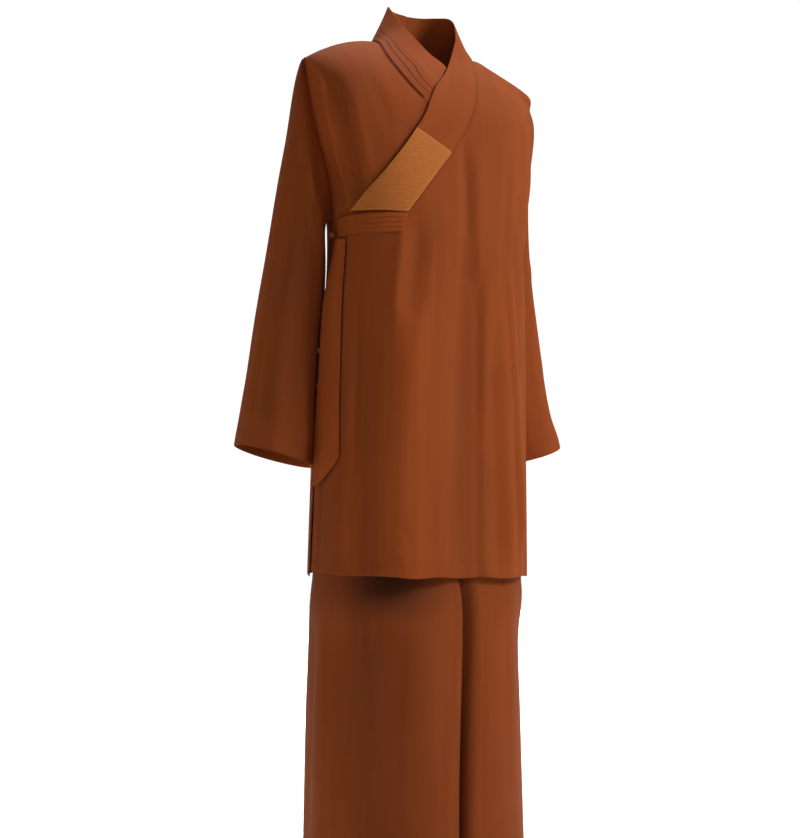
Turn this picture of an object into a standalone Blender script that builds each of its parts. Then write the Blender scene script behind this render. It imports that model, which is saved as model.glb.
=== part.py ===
# A crossover coat and its wide trousers, worn form, in metres.
# +Z is up, the front faces -Y, and +X is the wearer's left.
# The origin is the middle of the neck on the shoulder line.
import math
from bisect import bisect_right

import bpy
import bmesh
from mathutils import Vector

CLOTH = 0.0016          # wall of the coat and trousers
BAND = 0.0022           # wall of the doubled collar
SEAM = 0.0004           # space between pieces at a seam
NECK_HALF = 0.097       # neck point to the middle
SHOULDER_HALF = 0.222   # shoulder point to the middle
SHOULDER_DROP = 0.045   # shoulder point below the neck point
SHOULDER_FADE = 0.20    # drop over which the shoulder slope levels out
RIGHT_SHOULDER = 1.9    # how late each shoulder line falls away from the neck
LEFT_SHOULDER = 0.95
LEFT_CHEST = 2.35       # how square the left chest is, below the sections' own
RIDGE_FADE = 0.012      # drop over which the wall turns from upright to its own way
LAP_DROP = 0.3045       # level edge where the outer front starts at the side
ARMHOLE_DROP = 0.3045   # underarm below the neck point, level with the lap
CAP_POWER = 1.7
FRONT_CAP = 0.16        # height over which the chest rounds up to the shoulder
BACK_CAP = 0.11
SIDE_SEAM = 102.5       # turn of the side seams, degrees from the front
ARMHOLE_FRONT = -0.04   # front edge of the armhole, as a share of the coat's depth
ARMHOLE_BACK = -0.66
ARMHOLE_CURVE = 4       # how late the front edge turns back to the side seam
SLIT_DROP = 0.62        # side slits start here
UNDERLAP = 0.0034       # how far the under front lies inside the outer one

RUST = (0.31, 0.075, 0.020)
RUST_DARK = (0.27, 0.062, 0.016)
OCHRE = (0.46, 0.15, 0.035)

# Level sections of the coat, by drop below the neck point
BODY = (
    # drop, half_width, front, back, middle, square
    (0.000, 0.222, 0.118, 0.106, 0.000, 4.5),
    (0.150, 0.204, 0.120, 0.112, -0.012, 3.4),
    (0.300, 0.172, 0.118, 0.112, -0.020, 2.8),
    (0.450, 0.177, 0.119, 0.114, -0.011, 2.6),
    (0.620, 0.185, 0.121, 0.117, 0.001, 2.5),
    (0.884, 0.193, 0.123, 0.120, 0.009, 2.5),
)

# Long soft folds of the coat: a ridge stands out, a trough lies in
FOLDS = (
    # top_turn, low_turn, top, low, height, width
    (-65.0, -70.0, 0.050, 0.252, 0.0042, 5.5),
    (-57.0, -62.5, 0.050, 0.300, -0.0060, 7.0),
    (-27.4, -29.0, 0.290, 0.480, -0.0040, 6.0),
    (-37.5, -41.0, 0.315, 0.470, 0.0025, 4.5),
    (-0.5, 1.5, 0.150, 0.420, -0.0035, 6.0),
    (24.0, 24.5, 0.330, 0.900, -0.0060, 7.0),
    (39.0, 43.0, 0.300, 0.860, 0.0050, 7.0),
    (62.0, 60.0, 0.080, 0.400, -0.0045, 8.0),
    (-59.0, -54.0, 0.340, 0.900, -0.0035, 7.0),
    (-14.0, -12.0, 0.480, 0.900, 0.0030, 8.0),
    (112.0, 110.0, 0.330, 0.700, -0.0050, 11.0),
    (-112.0, -110.0, 0.330, 0.700, -0.0060, 11.0),
    (150.0, 147.0, 0.200, 0.900, -0.0060, 8.0),
    (170.0, 166.0, 0.300, 0.900, 0.0045, 7.0),
    (-156.0, -150.0, 0.120, 0.900, -0.0055, 8.0),
    (-132.0, -134.0, 0.350, 0.900, 0.0045, 7.0),
    (134.0, 131.0, 0.100, 0.500, 0.0040, 7.0),
)

# Outer seam of the left collar, and the line of its free edge lower down
LEFT_SEAM = (
    # drop, turn
    (0.000, 23.7), (0.026, 17.6), (0.071, 13.2), (0.101, 9.7), (0.136, 5.0),
    (0.162, 0.6), (0.180, -2.6), (0.203, -7.8), (0.255, -21.0), (0.3045, -33.6),
)
LEFT_EDGE_LINE = (
    # drop, turn
    (0.068, -4.1), (0.105, -13.4), (0.150, -20.5), (0.1715, -25.0),
    (0.214, -34.6), (0.259, -48.6), (0.2995, -69.3),
)
RIGHT_SEAM = (
    # drop, turn
    (0.000, -23.7), (0.026, -26.6), (0.055, -27.4), (0.097, -23.3), (0.126, -17.4),
    (0.160, -9.0), (0.200, 0.5), (0.260, 15.5), (0.300, 21.6),
)

# Levels that the panels are cut on, so that neighbours share their corners
CHEST_DROPS = (0.0, 0.003, 0.010, 0.022, 0.040, 0.065, 0.090, 0.120, 0.150, 0.180,
               0.203, 0.230, 0.258, 0.284, LAP_DROP)
SKIRT_DROPS = (0.338, 0.385, 0.440, 0.500, 0.560, SLIT_DROP, 0.680, 0.740, 0.800,
               0.850, 0.884)
CHEST_COLUMNS = 11
LAP_COLUMNS = 7
LAP_TURN = -87.0        # free edge of the outer front
UNDER_COLUMNS = 5       # columns of the under front past the seam's end

# Free edge of the left collar, by the drop of the seam it faces.
# Low down it lies on the chest; higher it stands away round the neck.
CHEST_EDGE = (
    # seam_drop, edge_drop, edge_turn
    (0.090, 0.068, -4.1), (0.120, 0.095, -11.2), (0.150, 0.121, -16.0),
    (0.180, 0.149, -20.4), (0.203, 0.1715, -25.0), (0.230, 0.206, -32.8),
    (0.258, 0.243, -43.4), (0.284, 0.274, -56.0), (LAP_DROP - 0.0008, 0.2995, -69.3),
)
NECK_EDGE = (
    # seam_drop, x, y, z
    (0.000, 0.0590, -0.008, 0.053), (0.003, 0.0530, -0.022, 0.034),
    (0.010, 0.0450, -0.035, 0.017), (0.022, 0.0350, -0.046, 0.000),
    (0.040, 0.0215, -0.060, -0.022), (0.065, 0.0020, -0.080, -0.047),
)
BACK_NECK = (
    # share, seam_x, seam_y, seam_z, edge_x, edge_y, edge_z
    (0.00, 0.0970, 0.000, 0.0000, 0.0590, -0.008, 0.053),
    (0.25, 0.0880, 0.026, -0.0030, 0.0590, 0.008, 0.069),
    (0.50, 0.0660, 0.047, -0.0100, 0.0480, 0.028, 0.075),
    (0.75, 0.0350, 0.059, -0.0160, 0.0270, 0.043, 0.076),
    (1.00, 0.0000, 0.063, -0.0185, 0.0000, 0.048, 0.076),
)
TUCK_LIFT = 0.0005      # collar tucks above the right collar
TUCK_WALL = 0.0012
TUCK_ENDS = (
    # across, share of the last stretch before the left collar
    (0.00, 0.95), (0.20, 0.80), (0.40, 0.60), (0.60, 0.30),
)
NECK_DIP = 0.0185       # centre back neckline below the neck point
COLLAR_ACROSS = (0.0, 0.19, 0.36, 0.53, 0.77, 1.0)
UNDER_EDGE = (
    # seam_drop, edge_drop, edge_turn: free edge of the right collar
    (0.090, 0.068, -4.1), (0.120, 0.092, 2.5), (0.150, 0.119, 8.5),
    (0.180, 0.147, 14.0), (0.203, 0.166, 18.0), (0.230, 0.190, 22.5),
)

# Sleeve sections, from the armhole to the cuff, for the wearer's left
SLEEVE = (
    # share, centre_x, y, z, out_x, out_y, out_z, fore_x, fore_y, back_depth
    (0.00, 0.1990, 0.001, -0.174, 0.024, -0.003, 0.130, 0.000, -0.014, 0.050),
    (0.10, 0.2040, 0.008, -0.202, 0.027, -0.004, 0.117, 0.004, -0.026, 0.050),
    (0.22, 0.2055, 0.019, -0.247, 0.033, -0.006, 0.096, 0.008, -0.040, 0.050),
    (0.36, 0.2045, 0.040, -0.312, 0.044, -0.010, 0.073, 0.009, -0.054, 0.052),
    (0.52, 0.2080, 0.054, -0.400, 0.053, -0.010, 0.050, 0.010, -0.060, 0.060),
    (0.68, 0.2160, 0.064, -0.495, 0.061, -0.010, 0.035, 0.011, -0.062, 0.064),
    (0.84, 0.2270, 0.066, -0.595, 0.066, -0.008, 0.025, 0.012, -0.067, 0.068),
    (1.00, 0.2410, 0.062, -0.688, 0.070, -0.006, 0.020, 0.009, -0.074, 0.074),
)
SLEEVE_SHARES = (0.0, 0.05, 0.11, 0.18, 0.26, 0.35, 0.45, 0.55, 0.65, 0.75, 0.84, 0.92, 1.0)
SLEEVE_ROOT = 0.26      # share of the sleeve that still follows the armhole
LEFT_MOVES = (
    # share, outward, backward: how the left sleeve hangs apart from the right one's mirror
    (0.00, -0.004, 0.000), (0.10, -0.006, 0.003), (0.22, -0.010, 0.008),
    (0.36, -0.008, 0.010), (0.52, -0.003, 0.010), (0.68, 0.004, 0.008),
    (0.84, 0.005, 0.006), (1.00, 0.009, 0.004),
)
BODY_SPACE = 0.0038     # least space between a sleeve and the coat's side
ARMPIT_SPACE = 0.0050   # extra space under the right arm, and the height it lies at
ARMPIT_HEIGHT = -0.320
SLEEVE_FOLDS = (
    # top_angle, low_angle, top, low, height, width in degrees round the sleeve
    (52.0, 40.0, 0.12, 1.00, 0.0050, 15.0),
    (80.0, 75.0, 0.20, 0.95, -0.0060, 15.0),
    (12.0, 8.0, 0.25, 1.00, -0.0040, 14.0),
    (305.0, 315.0, 0.20, 1.00, -0.0055, 15.0),
    (270.0, 280.0, 0.10, 0.90, 0.0045, 14.0),
)

# Sections of the trousers; the inner wall starts at the crotch
CROTCH = -0.700
LEGS = (
    # height, half_width, front, back, middle, inner_gap, corner
    (-1.400, 0.1930, 0.1250, 0.1250, 0.010, 0.0060, 0.024),
    (-1.120, 0.1875, 0.1190, 0.1210, 0.012, 0.0050, 0.024),
    (-1.000, 0.1845, 0.1130, 0.1180, 0.010, 0.0040, 0.024),
    (-0.930, 0.1890, 0.1070, 0.1140, 0.005, 0.0040, 0.022),
    (-0.884, 0.1865, 0.1010, 0.1100, 0.005, 0.0036, 0.020),
    (-0.800, 0.1800, 0.0980, 0.1060, 0.004, 0.0030, 0.018),
    (-0.700, 0.1700, 0.0960, 0.1020, 0.000, 0.0010, 0.006),
    (-0.560, 0.1590, 0.0930, 0.0980, -0.005, 0.0004, 0.006),
    (-0.458, 0.1500, 0.0900, 0.0930, -0.010, 0.0004, 0.006),
)
LEG_HEIGHTS = (-0.458, -0.500, -0.560, -0.630, -0.670, CROTCH, -0.730, -0.780, -0.840,
               -0.900, -0.970, -1.060, -1.150, -1.240, -1.320, -1.400)
# How far the front fold between the legs lies towards the wearer's left
LEG_MEETS = (
    # height, shift
    (-1.400, 0.010),
    (-1.210, 0.014),
    (-0.890, 0.027),
    (-0.780, 0.012),
    (-0.700, 0.000),
)
MEET_BEGINS = 0.070     # this far forward the shift begins
MEET_SPREAD = 0.026
LEG_ARC = 14            # steps round the outside of a leg
LEG_SQUARE = 2.5
WAIST_TOP = -0.418
WAIST_STEPS = 28
LEG_FOLDS = (
    # top_turn, low_turn, top, low, height, width
    (38.0, 42.0, 0.70, 1.42, -0.0060, 8.0),
    (16.0, 14.0, 0.72, 1.42, 0.0045, 6.5),
    (62.0, 60.0, 0.74, 1.42, 0.0050, 8.0),
    (88.0, 90.0, 0.60, 1.42, -0.0035, 9.0),
    (122.0, 118.0, 0.65, 1.42, 0.0050, 9.0),
    (146.0, 150.0, 0.60, 1.42, -0.0060, 9.0),
)

# The flat tie, by level: each edge has its turn and its lift off the coat
TIE = (
    # drop, right_turn, right_lift, left_turn, left_lift
    (0.341, -76.0, 0.0040, -88.0, 0.0060),
    (0.400, -75.0, 0.0042, -91.0, 0.0080),
    (0.450, -74.0, 0.0042, -93.5, 0.0100),
    (0.550, -71.0, 0.0042, -94.0, 0.0112),
    (0.735, -66.5, 0.0042, -92.5, 0.0120),
)
BAND_LIFT = 0.0008      # side band above the lap
BAND_WALL = 0.0011
BAND_RIDGE = 0.0009
BAND_TUCKS = 4
BAND_SLANT = 0.42       # how far the band's inner end leans, in columns
TIE_WALL = 0.0013
TIE_ROWS = 12
TIE_END_LIFT = 0.046    # how much higher the tie's front corner ends

KNOTS = (
    # turn, drop, reach, radius
    (-92.5, 0.3300, 0.0078, 0.0050),
    (-96.5, 0.5175, 0.0108, 0.0048),
    (-96.9, 0.5740, 0.0092, 0.0046),
)


def along(rows, place):
    """Values of a table at a place between its rows, on a smooth curve."""
    keys = [row[0] for row in rows]
    place = min(max(place, keys[0]), keys[-1])
    k = min(bisect_right(keys, place) - 1, len(keys) - 2)

    def slope(i):
        low, high = max(i - 1, 0), min(i + 1, len(keys) - 1)
        span = keys[high] - keys[low]
        return [(b - a) / span for a, b in zip(rows[low][1:], rows[high][1:])]

    span = keys[k + 1] - keys[k]
    f = (place - keys[k]) / span
    values = zip(rows[k][1:], rows[k + 1][1:], slope(k), slope(k + 1))
    return [(2 * f**3 - 3 * f**2 + 1) * a + (f**3 - 2 * f**2 + f) * span * m
            + (3 * f**2 - 2 * f**3) * b + (f**3 - f**2) * span * n
            for a, b, m, n in values]


def straight(rows, place):
    """Values of a table at a place, on straight lines between its rows."""
    keys = [row[0] for row in rows]
    place = min(max(place, keys[0]), keys[-1])
    k = min(bisect_right(keys, place) - 1, len(keys) - 2)
    f = (place - keys[k]) / (keys[k + 1] - keys[k])
    return [a + (b - a) * f for a, b in zip(rows[k][1:], rows[k + 1][1:])]


def mix(a, b, f):
    return a + (b - a) * f


def ease(f):
    f = min(max(f, 0.0), 1.0)
    return f * f * (3 - 2 * f)


def folded(rows, turn, place):
    """Height of the folds at a turn and a place along them."""
    height = 0.0
    for top_turn, low_turn, top, low, size, width in rows:
        if not top < place < low:
            continue
        f = (place - top) / (low - top)
        off = (turn - mix(top_turn, low_turn, f) + 180) % 360 - 180
        fade = ease(f / 0.3) * ease((1 - f) / 0.12)
        height += size * fade * math.exp(-(off / width) ** 2)
    return height


def cap(drop, height):
    if drop >= height:
        return 1.0
    return (1 - (1 - drop / height) ** CAP_POWER) ** (1 / CAP_POWER)


def shoulder_fall(x, side):
    """Share of the shoulder's whole fall that is reached at a place across it."""
    slope = min(max((abs(x) - NECK_HALF) / (SHOULDER_HALF - NECK_HALF), 0), 1)
    return slope ** (LEFT_SHOULDER if side > 0 else RIGHT_SHOULDER)


def body(turn, drop, flat=False):
    """Point of the coat's outside; turn 0 is the front, +90 the wearer's left."""
    half, front, back, middle, square = along(BODY, drop)
    s, c = math.sin(math.radians(turn)), math.cos(math.radians(turn))
    if s > 0 and c > 0:
        square = mix(square, LEFT_CHEST, ease(drop / 0.05) * (1 - ease((drop - 0.15) / 0.12)))
    rho = (abs(s) ** square + abs(c) ** square) ** (-1 / square)
    s, c = s * rho, c * rho
    rise = cap(drop, FRONT_CAP if c > 0 else BACK_CAP)
    depth = (front if c > 0 else back) * rise
    x, y = half * s, middle - depth * c
    fade = max(0.0, 1 - drop / SHOULDER_FADE)
    z = -drop - SHOULDER_DROP * shoulder_fall(x, 1 if x > 0 else -1) * fade
    if not flat:
        away_x = math.copysign(abs(s) ** (square - 1) / half, s)
        away_y = -math.copysign(abs(c) ** (square - 1) / (front if c > 0 else back), c)
        size = folded(FOLDS, turn, drop) / math.hypot(away_x, away_y)
        x, y = x + away_x * size, y + away_y * size
    return Vector((x, y, z))


def body_out(turn, drop, fade=RIDGE_FADE):
    """Direction straight out of the coat's outside, upright along the shoulder ridge."""
    x = body(turn, 0.0, flat=True).x
    side = 1 if x > 0 else -1
    gain = shoulder_fall(abs(x) + 0.002, side) - shoulder_fall(abs(x) - 0.002, side)
    if abs(x) > SHOULDER_HALF - 0.002:
        gain *= 2
    tilt = SHOULDER_DROP * gain / 0.004
    ridge = Vector((math.copysign(tilt, x), 0, 1)).normalized()
    if drop < 0.0005:
        return ridge
    round_it = body(turn + 1, drop) - body(turn - 1, drop)
    step = min(0.003, drop * 0.5)
    down = body(turn, drop + step) - body(turn, drop - step)
    share = ease(drop / fade)
    return ridge.lerp(down.cross(round_it).normalized(), share).normalized()


def turn_of(reach, square):
    """Turn whose front share of the section is reach, from 1 in front to -1 behind."""
    side = (1 - abs(reach) ** square) ** (1 / square)
    return math.degrees(math.atan2(side, reach))


def side_reach():
    return math.cos(math.radians(SIDE_SEAM))


def front_side(drop):
    """Turn of the front panels' side boundary: armhole, then side seam."""
    square = along(BODY, drop)[4]
    share = min(drop / ARMHOLE_DROP, 1.0) ** ARMHOLE_CURVE
    return turn_of(mix(ARMHOLE_FRONT, side_reach(), share), square)


def back_side(drop):
    """Turn of the back panel's side boundary."""
    square = along(BODY, drop)[4]
    if drop >= ARMHOLE_DROP:
        return turn_of(side_reach(), square)
    low = (drop - ARMHOLE_DROP / 2) / (ARMHOLE_DROP / 2)
    end = ARMHOLE_FRONT if low < 0 else side_reach()
    return turn_of(mix(end, ARMHOLE_BACK, math.sqrt(1 - low * low)), square)


def under_lift(turn, drop):
    """How far the under front and right collar sink where the outer front covers them."""
    seam = straight(LEFT_SEAM, drop)[0]
    edge = straight(LEFT_EDGE_LINE, drop)[0]
    chest = 0.0
    if drop > 0.06:
        chest = min(max((turn - edge) / (seam - edge), 0), 1)
    lap = min(max((turn + 93) / 5, 0), 1)
    share = min(max((drop - 0.290) / 0.012, 0), 1)
    return -UNDERLAP * mix(chest, lap, share)


def layers(point, out, lift, wall):
    return point + out * lift, point + out * (lift - wall)


def coat_point(turn, drop, lift=0.0, wall=CLOTH):
    return layers(body(turn, drop), body_out(turn, drop), lift, wall)


def outward(points, ring=False):
    """Straight-out directions of a grid of points, from the faces round each."""
    rows, columns = len(points), len(points[0])
    result = []
    for i in range(rows):
        line = []
        for j in range(columns):
            here, total = points[i][j], Vector()
            for m, n in ((i - 1, j - 1), (i - 1, j + 1), (i + 1, j - 1), (i + 1, j + 1)):
                if not 0 <= m < rows or not (ring or 0 <= n < columns):
                    continue
                down = (points[m][j] - here) * (m - i)
                beside = (points[i][n % columns] - here) * (n - j)
                total += down.cross(beside).normalized()
            line.append(total.normalized())
        result.append(line)
    return result


def build_shell(name, grid, colour, ring=False, keep=None, rough=0.85):
    """Join a grid of (outside, inside) points into one closed wall."""
    mesh = bmesh.new()
    made = {}
    columns = len(grid[0])
    spans = columns if ring else columns - 1

    def corner(i, j, layer):
        key = (i, j % columns, layer)
        if key not in made:
            made[key] = mesh.verts.new(grid[i][j % columns][layer])
        return made[key]

    cells = {(i, j) for i in range(len(grid) - 1) for j in range(spans)
             if keep is None or keep(i, j)}
    for i, j in sorted(cells):
        loop = [(i, j), (i, j + 1), (i + 1, j + 1), (i + 1, j)]
        a, b, c, d = (corner(m, n, 0).co for m, n in loop)
        turned = loop[1:] + loop[:1]
        split = loop if (c - a).length <= (d - b).length else turned
        for half in (split[:3], split[2:] + split[:1]):
            mesh.faces.new([corner(a, b, 0) for a, b in half])
            mesh.faces.new([corner(a, b, 1) for a, b in reversed(half)])
        wrap = (lambda n: n % spans) if ring else (lambda n: n)
        beside = [(i - 1, j), (i, wrap(j + 1)), (i + 1, j), (i, wrap(j - 1))]
        for k, neighbour in enumerate(beside):
            if neighbour not in cells:
                start, end = loop[k], loop[(k + 1) % 4]
                mesh.faces.new([corner(*end, 0), corner(*start, 0),
                                corner(*start, 1), corner(*end, 1)])
    if mesh.calc_volume(signed=True) < 0:
        bmesh.ops.reverse_faces(mesh, faces=mesh.faces)
    return place_mesh(name, mesh, colour, rough)


def place_mesh(name, mesh, colour, rough=0.85):
    data = bpy.data.meshes.new(name)
    mesh.to_mesh(data)
    mesh.free()
    data.shade_smooth()
    data.set_sharp_from_angle(angle=math.radians(50))
    material = bpy.data.materials.new(name)
    material.use_nodes = True
    shader = material.node_tree.nodes["Principled BSDF"]
    shader.inputs["Base Color"].default_value = (*colour, 1)
    shader.inputs["Roughness"].default_value = rough
    shader.inputs["Metallic"].default_value = 0.0
    data.materials.append(material)
    thing = bpy.data.objects.new(name, data)
    bpy.context.collection.objects.link(thing)
    return thing


def clear_scene():
    for thing in list(bpy.data.objects):
        bpy.data.objects.remove(thing, do_unlink=True)


def seam_shift(drop):
    """Degrees that hold SEAM open on the coat's outside."""
    half = along(BODY, drop)[0]
    return math.degrees(SEAM / half)


def front_turns(drop, seam_turn):
    """Turns of the chest columns of the outer front at a level."""
    side = front_side(drop) - seam_shift(drop)
    return [mix(seam_turn, side, j / CHEST_COLUMNS) for j in range(CHEST_COLUMNS + 1)]


def front_left():
    """Outer front: the chest beside the left collar, and the lap below it."""
    rows = []
    end_turn = straight(LEFT_SEAM, LAP_DROP)[0]
    lap = [mix(LAP_TURN, end_turn, j / LAP_COLUMNS) for j in range(LAP_COLUMNS)]
    for drop in CHEST_DROPS + SKIRT_DROPS:
        turns = lap + front_turns(drop, straight(LEFT_SEAM, drop)[0])
        rows.append([coat_point(turn, drop) for turn in turns])
    part_at_shoulder(rows, -1)
    chest_rows = len(CHEST_DROPS) - 1
    hem_wave(rows)
    build_shell("coat_front_left", rows, RUST,
                keep=lambda i, j: i >= chest_rows or j >= LAP_COLUMNS)
    return rows


def part_at_shoulder(rows, way):
    """Move a panel's top edge back from the shoulder seam by half the seam's space."""
    for corners in rows[0]:
        for corner in corners:
            corner.y += way * SEAM / 2


def hem_wave(rows):
    """The hem hangs a little lower on the wearer's left, in shallow waves."""
    for out, inside in rows[-1]:
        dip = -0.010 * (out.x / 0.19) - 0.0012 * math.sin(out.x * 70 + 1)
        out.z += dip
        inside.z += dip


def front_right():
    """Under front: its chest shows, the rest lies under the outer front."""
    rows = []
    end_turn = straight(LEFT_SEAM, LAP_DROP)[0]
    lap = [mix(LAP_TURN, end_turn, j / LAP_COLUMNS) for j in range(LAP_COLUMNS)]
    step = (front_side(LAP_DROP) - end_turn) / CHEST_COLUMNS
    past = [end_turn + step * k for k in range(UNDER_COLUMNS + 1)]
    low_turns = [-SIDE_SEAM, -97.5, -93.0] + lap + past
    count = len(low_turns) - 1
    for drop in CHEST_DROPS:
        side = -front_side(drop) + seam_shift(drop)
        seam = straight(RIGHT_SEAM, drop)[0]
        turns = [mix(side, seam, j / count) for j in range(count + 1)]
        if drop == LAP_DROP:
            turns = [side] + low_turns[1:]
        rows.append([coat_point(turn, drop, under_lift(turn, drop)) for turn in turns])
    for drop in SKIRT_DROPS:
        side = -front_side(drop) + seam_shift(drop)
        turns = [side] + low_turns[1:]
        rows.append([coat_point(turn, drop, under_lift(turn, drop)) for turn in turns])
    part_at_shoulder(rows, -1)
    hem_wave(rows)
    return build_shell("coat_front_right", rows, RUST)


def back():
    """Back panel, cut down at the neck; below the slits its edges spread a little."""
    count = 22
    rows = []
    for drop in CHEST_DROPS + SKIRT_DROPS:
        start = back_side(drop) + seam_shift(drop)
        line = []
        for j in range(count + 1):
            turn = mix(start, 360 - start, j / count)
            x = abs(body(turn, drop, flat=True).x)
            dip = NECK_DIP * max(0.0, 1 - (x / NECK_HALF) ** 2.4)
            level = drop + dip * max(0.0, 1 - drop / 0.10)
            edge = ease((abs(j - count / 2) - count / 2 + 1.5) / 1.5)
            spread = 0.0035 * edge * ease((drop - SLIT_DROP) / 0.20)
            line.append(coat_point(turn, level, spread))
        rows.append(line)
    part_at_shoulder(rows, 1)
    for out, inside in rows[-1]:
        out.z += 0.008
        inside.z += 0.008
    return build_shell("coat_back", rows, RUST_DARK)


def sleeve_angles():
    """Angles round the sleeve, one for each level of the panels, front then back."""
    top, low = CHEST_DROPS[1], ARMHOLE_DROP
    front = [math.degrees(math.acos(1 - 2 * (drop - top) / (low - top)))
             for drop in CHEST_DROPS[1:]]
    return front + [360 - angle for angle in front[-2:0:-1]]


def armhole(angle, side):
    """Point on the armhole; angle 0 is at the shoulder, 90 in front."""
    top, low = CHEST_DROPS[1], ARMHOLE_DROP
    drop = mix(top, low, (1 - math.cos(math.radians(angle))) / 2)
    turn = front_side(drop) if angle <= 180 else back_side(drop)
    return body(side * turn, drop), body_out(side * turn, drop, fade=0.001)


def coat_half(y, z, side):
    """Half-width of the coat at a depth and height, for the sleeves to clear."""
    drop = -z
    for _ in range(3):
        half, front, back_depth, middle, square = along(BODY, max(drop, 0.01))
        deep = front * cap(drop, FRONT_CAP) if y < middle else back_depth * cap(drop, BACK_CAP)
        share = min(abs(y - middle) / max(deep, 0.001), 0.98)
        x = half * (1 - share ** square) ** (1 / square)
        drop = -z - SHOULDER_DROP * shoulder_fall(x, side) * max(0.0, 1 - drop / SHOULDER_FADE)
    turn = turn_of((middle - y) / max(deep, 0.001) if share < 0.98 else -0.98, square)
    return x, folded(FOLDS, turn, drop)


def sleeve_point(angle, share, side):
    """Point of a sleeve's outside; angle 0 is outermost, 90 in front."""
    row = along(SLEEVE, share)
    outward_by, back_by = along(LEFT_MOVES, share) if side > 0 else (0.0, 0.0)
    c, s = math.cos(math.radians(angle)), math.sin(math.radians(angle))
    fore = (row[6], row[7]) if s > 0 else (0.0, -row[8])
    tube = Vector((row[0] + outward_by + row[3] * c + fore[0] * s,
                   row[1] + back_by + row[4] * c + fore[1] * s, row[2] + row[5] * c))
    bulge = folded(SLEEVE_FOLDS, angle, share)
    tube += Vector((c, -s, 0)) * bulge
    tube.x *= side
    hole, out = armhole(angle, side)
    low = (1 - c) / 2 if side > 0 else 1.0
    root = hole + out * SEAM + Vector((side, 0, 0)) * share * mix(0.036, 0.06, low)
    point = root.lerp(tube, ease(share / SLEEVE_ROOT))
    if share > 0.04:
        half, fold = coat_half(point.y, point.z, side)
        least = half + fold + BODY_SPACE
        if side < 0:
            least += ARMPIT_SPACE * math.exp(-((point.z - ARMPIT_HEIGHT) / 0.035) ** 2)
        point.x = side * max(abs(point.x), least)
    return point


def sleeve(name, side):
    """A sleeve is one tube, from its butt against the armhole to the open cuff."""
    angles = sleeve_angles()
    count = len(angles)
    points = [[sleeve_point(angle, share, side) for angle in angles]
              for share in SLEEVE_SHARES]
    outs = outward(points, ring=True)
    middle = sum(points[0], Vector()) / count
    rows = []
    for i, (line, ways) in enumerate(zip(points, outs)):
        row = []
        for j, (point, way) in enumerate(zip(line, ways)):
            if i == 0:
                around = points[0][(j + 1) % count] - points[0][j - 1]
                way = around.cross(armhole(angles[j], side)[1]).normalized()
                way *= math.copysign(1, way.dot(point - middle))
                row.append((point + way * CLOTH, point.copy()))
            else:
                way = way * (-side)
                row.append((point.copy(), point - way * CLOTH))
        rows.append(row)
    return build_shell(name, rows, RUST, ring=True)


def collar_lines(side):
    """Seam-to-edge lines of a collar half, from the centre back to its front end."""
    rows = CHEST_EDGE if side > 0 else UNDER_EDGE
    seam_line = LEFT_SEAM if side > 0 else RIGHT_SEAM
    lines = []
    for share in (1.0, 0.75, 0.5, 0.25):
        sx, sy, sz, ex, ey, ez = straight(BACK_NECK, share)
        lines.append([Vector((side * mix(sx, ex, f), mix(sy, ey, f), mix(sz, ez, f)))
                      for f in COLLAR_ACROSS])
    for drop, x, y, z in NECK_EDGE:
        turn = straight(seam_line, drop)[0]
        start = body(turn - side * seam_shift(drop), drop, flat=True)
        if drop == 0:
            start.x -= side * SEAM
        lines.append([start.lerp(Vector((side * x, y, z)), f) for f in COLLAR_ACROSS])
    for drop, edge_drop, edge_turn in rows:
        turn = straight(seam_line, drop)[0] - side * seam_shift(drop)
        lines.append([body(mix(turn, edge_turn, f), mix(drop, edge_drop, f), flat=side > 0)
                      for f in COLLAR_ACROSS])
    return lines


def collar_lift(side, line, f, lines):
    """Outer face of the left collar rises to its edge; the right one sinks under it."""
    if side > 0:
        return mix(0.0012, 0.0046, f)
    rows = UNDER_EDGE
    first = len(lines) - len(rows)
    if line < first:
        return 0.0008
    drop, edge_drop, edge_turn = rows[line - first]
    turn = straight(RIGHT_SEAM, drop)[0]
    return 0.0006 + 1.10 * under_lift(mix(turn, edge_turn, f), mix(drop, edge_drop, f))


def collar(name, side):
    lines = collar_lines(side)
    outs = outward(lines)
    rows = []
    for i, (line, ways) in enumerate(zip(lines, outs)):
        row = []
        for f, point, way in zip(COLLAR_ACROSS, line, ways):
            way = way * (-side)
            lift = collar_lift(side, i, f, lines)
            row.append(layers(point, way, lift, BAND))
        rows.append(row)
    for out, inside in rows[0]:
        for corner in (out, inside):
            corner.x = side * SEAM / 2
    build_shell(name, rows, RUST)
    return rows


def on_grid(rows, lift, wall):
    """A layer that lies on the outside of a grid, moved out by lift."""
    layer = []
    for line in rows:
        layer.append([])
        for out, inside in line:
            way = (out - inside).normalized()
            layer[-1].append((out + way * (lift + wall), out + way * lift))
    return layer


def patch(collar_rows):
    """The stitched patch covers the left collar below the turn of the chest."""
    first = len(collar_rows) - 5
    layer = on_grid(collar_rows[first:], 0.0003, 0.0011)
    build_shell("collar_patch", layer, OCHRE)


def tucks(collar_rows):
    """Three narrow layers along the right collar's seam, side by side."""
    for k in range(3):
        low, high = COLLAR_ACROSS[k] + 0.02, COLLAR_ACROSS[k + 1] - 0.01
        lines = []
        for points, ways in tuck_stations(collar_rows, low, high):
            lines.append([(p + w * (TUCK_LIFT + TUCK_WALL), p + w * TUCK_LIFT)
                          for p, w in zip(points, ways)])
        build_shell(f"collar_tuck_{k + 1}", lines, RUST_DARK)


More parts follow.
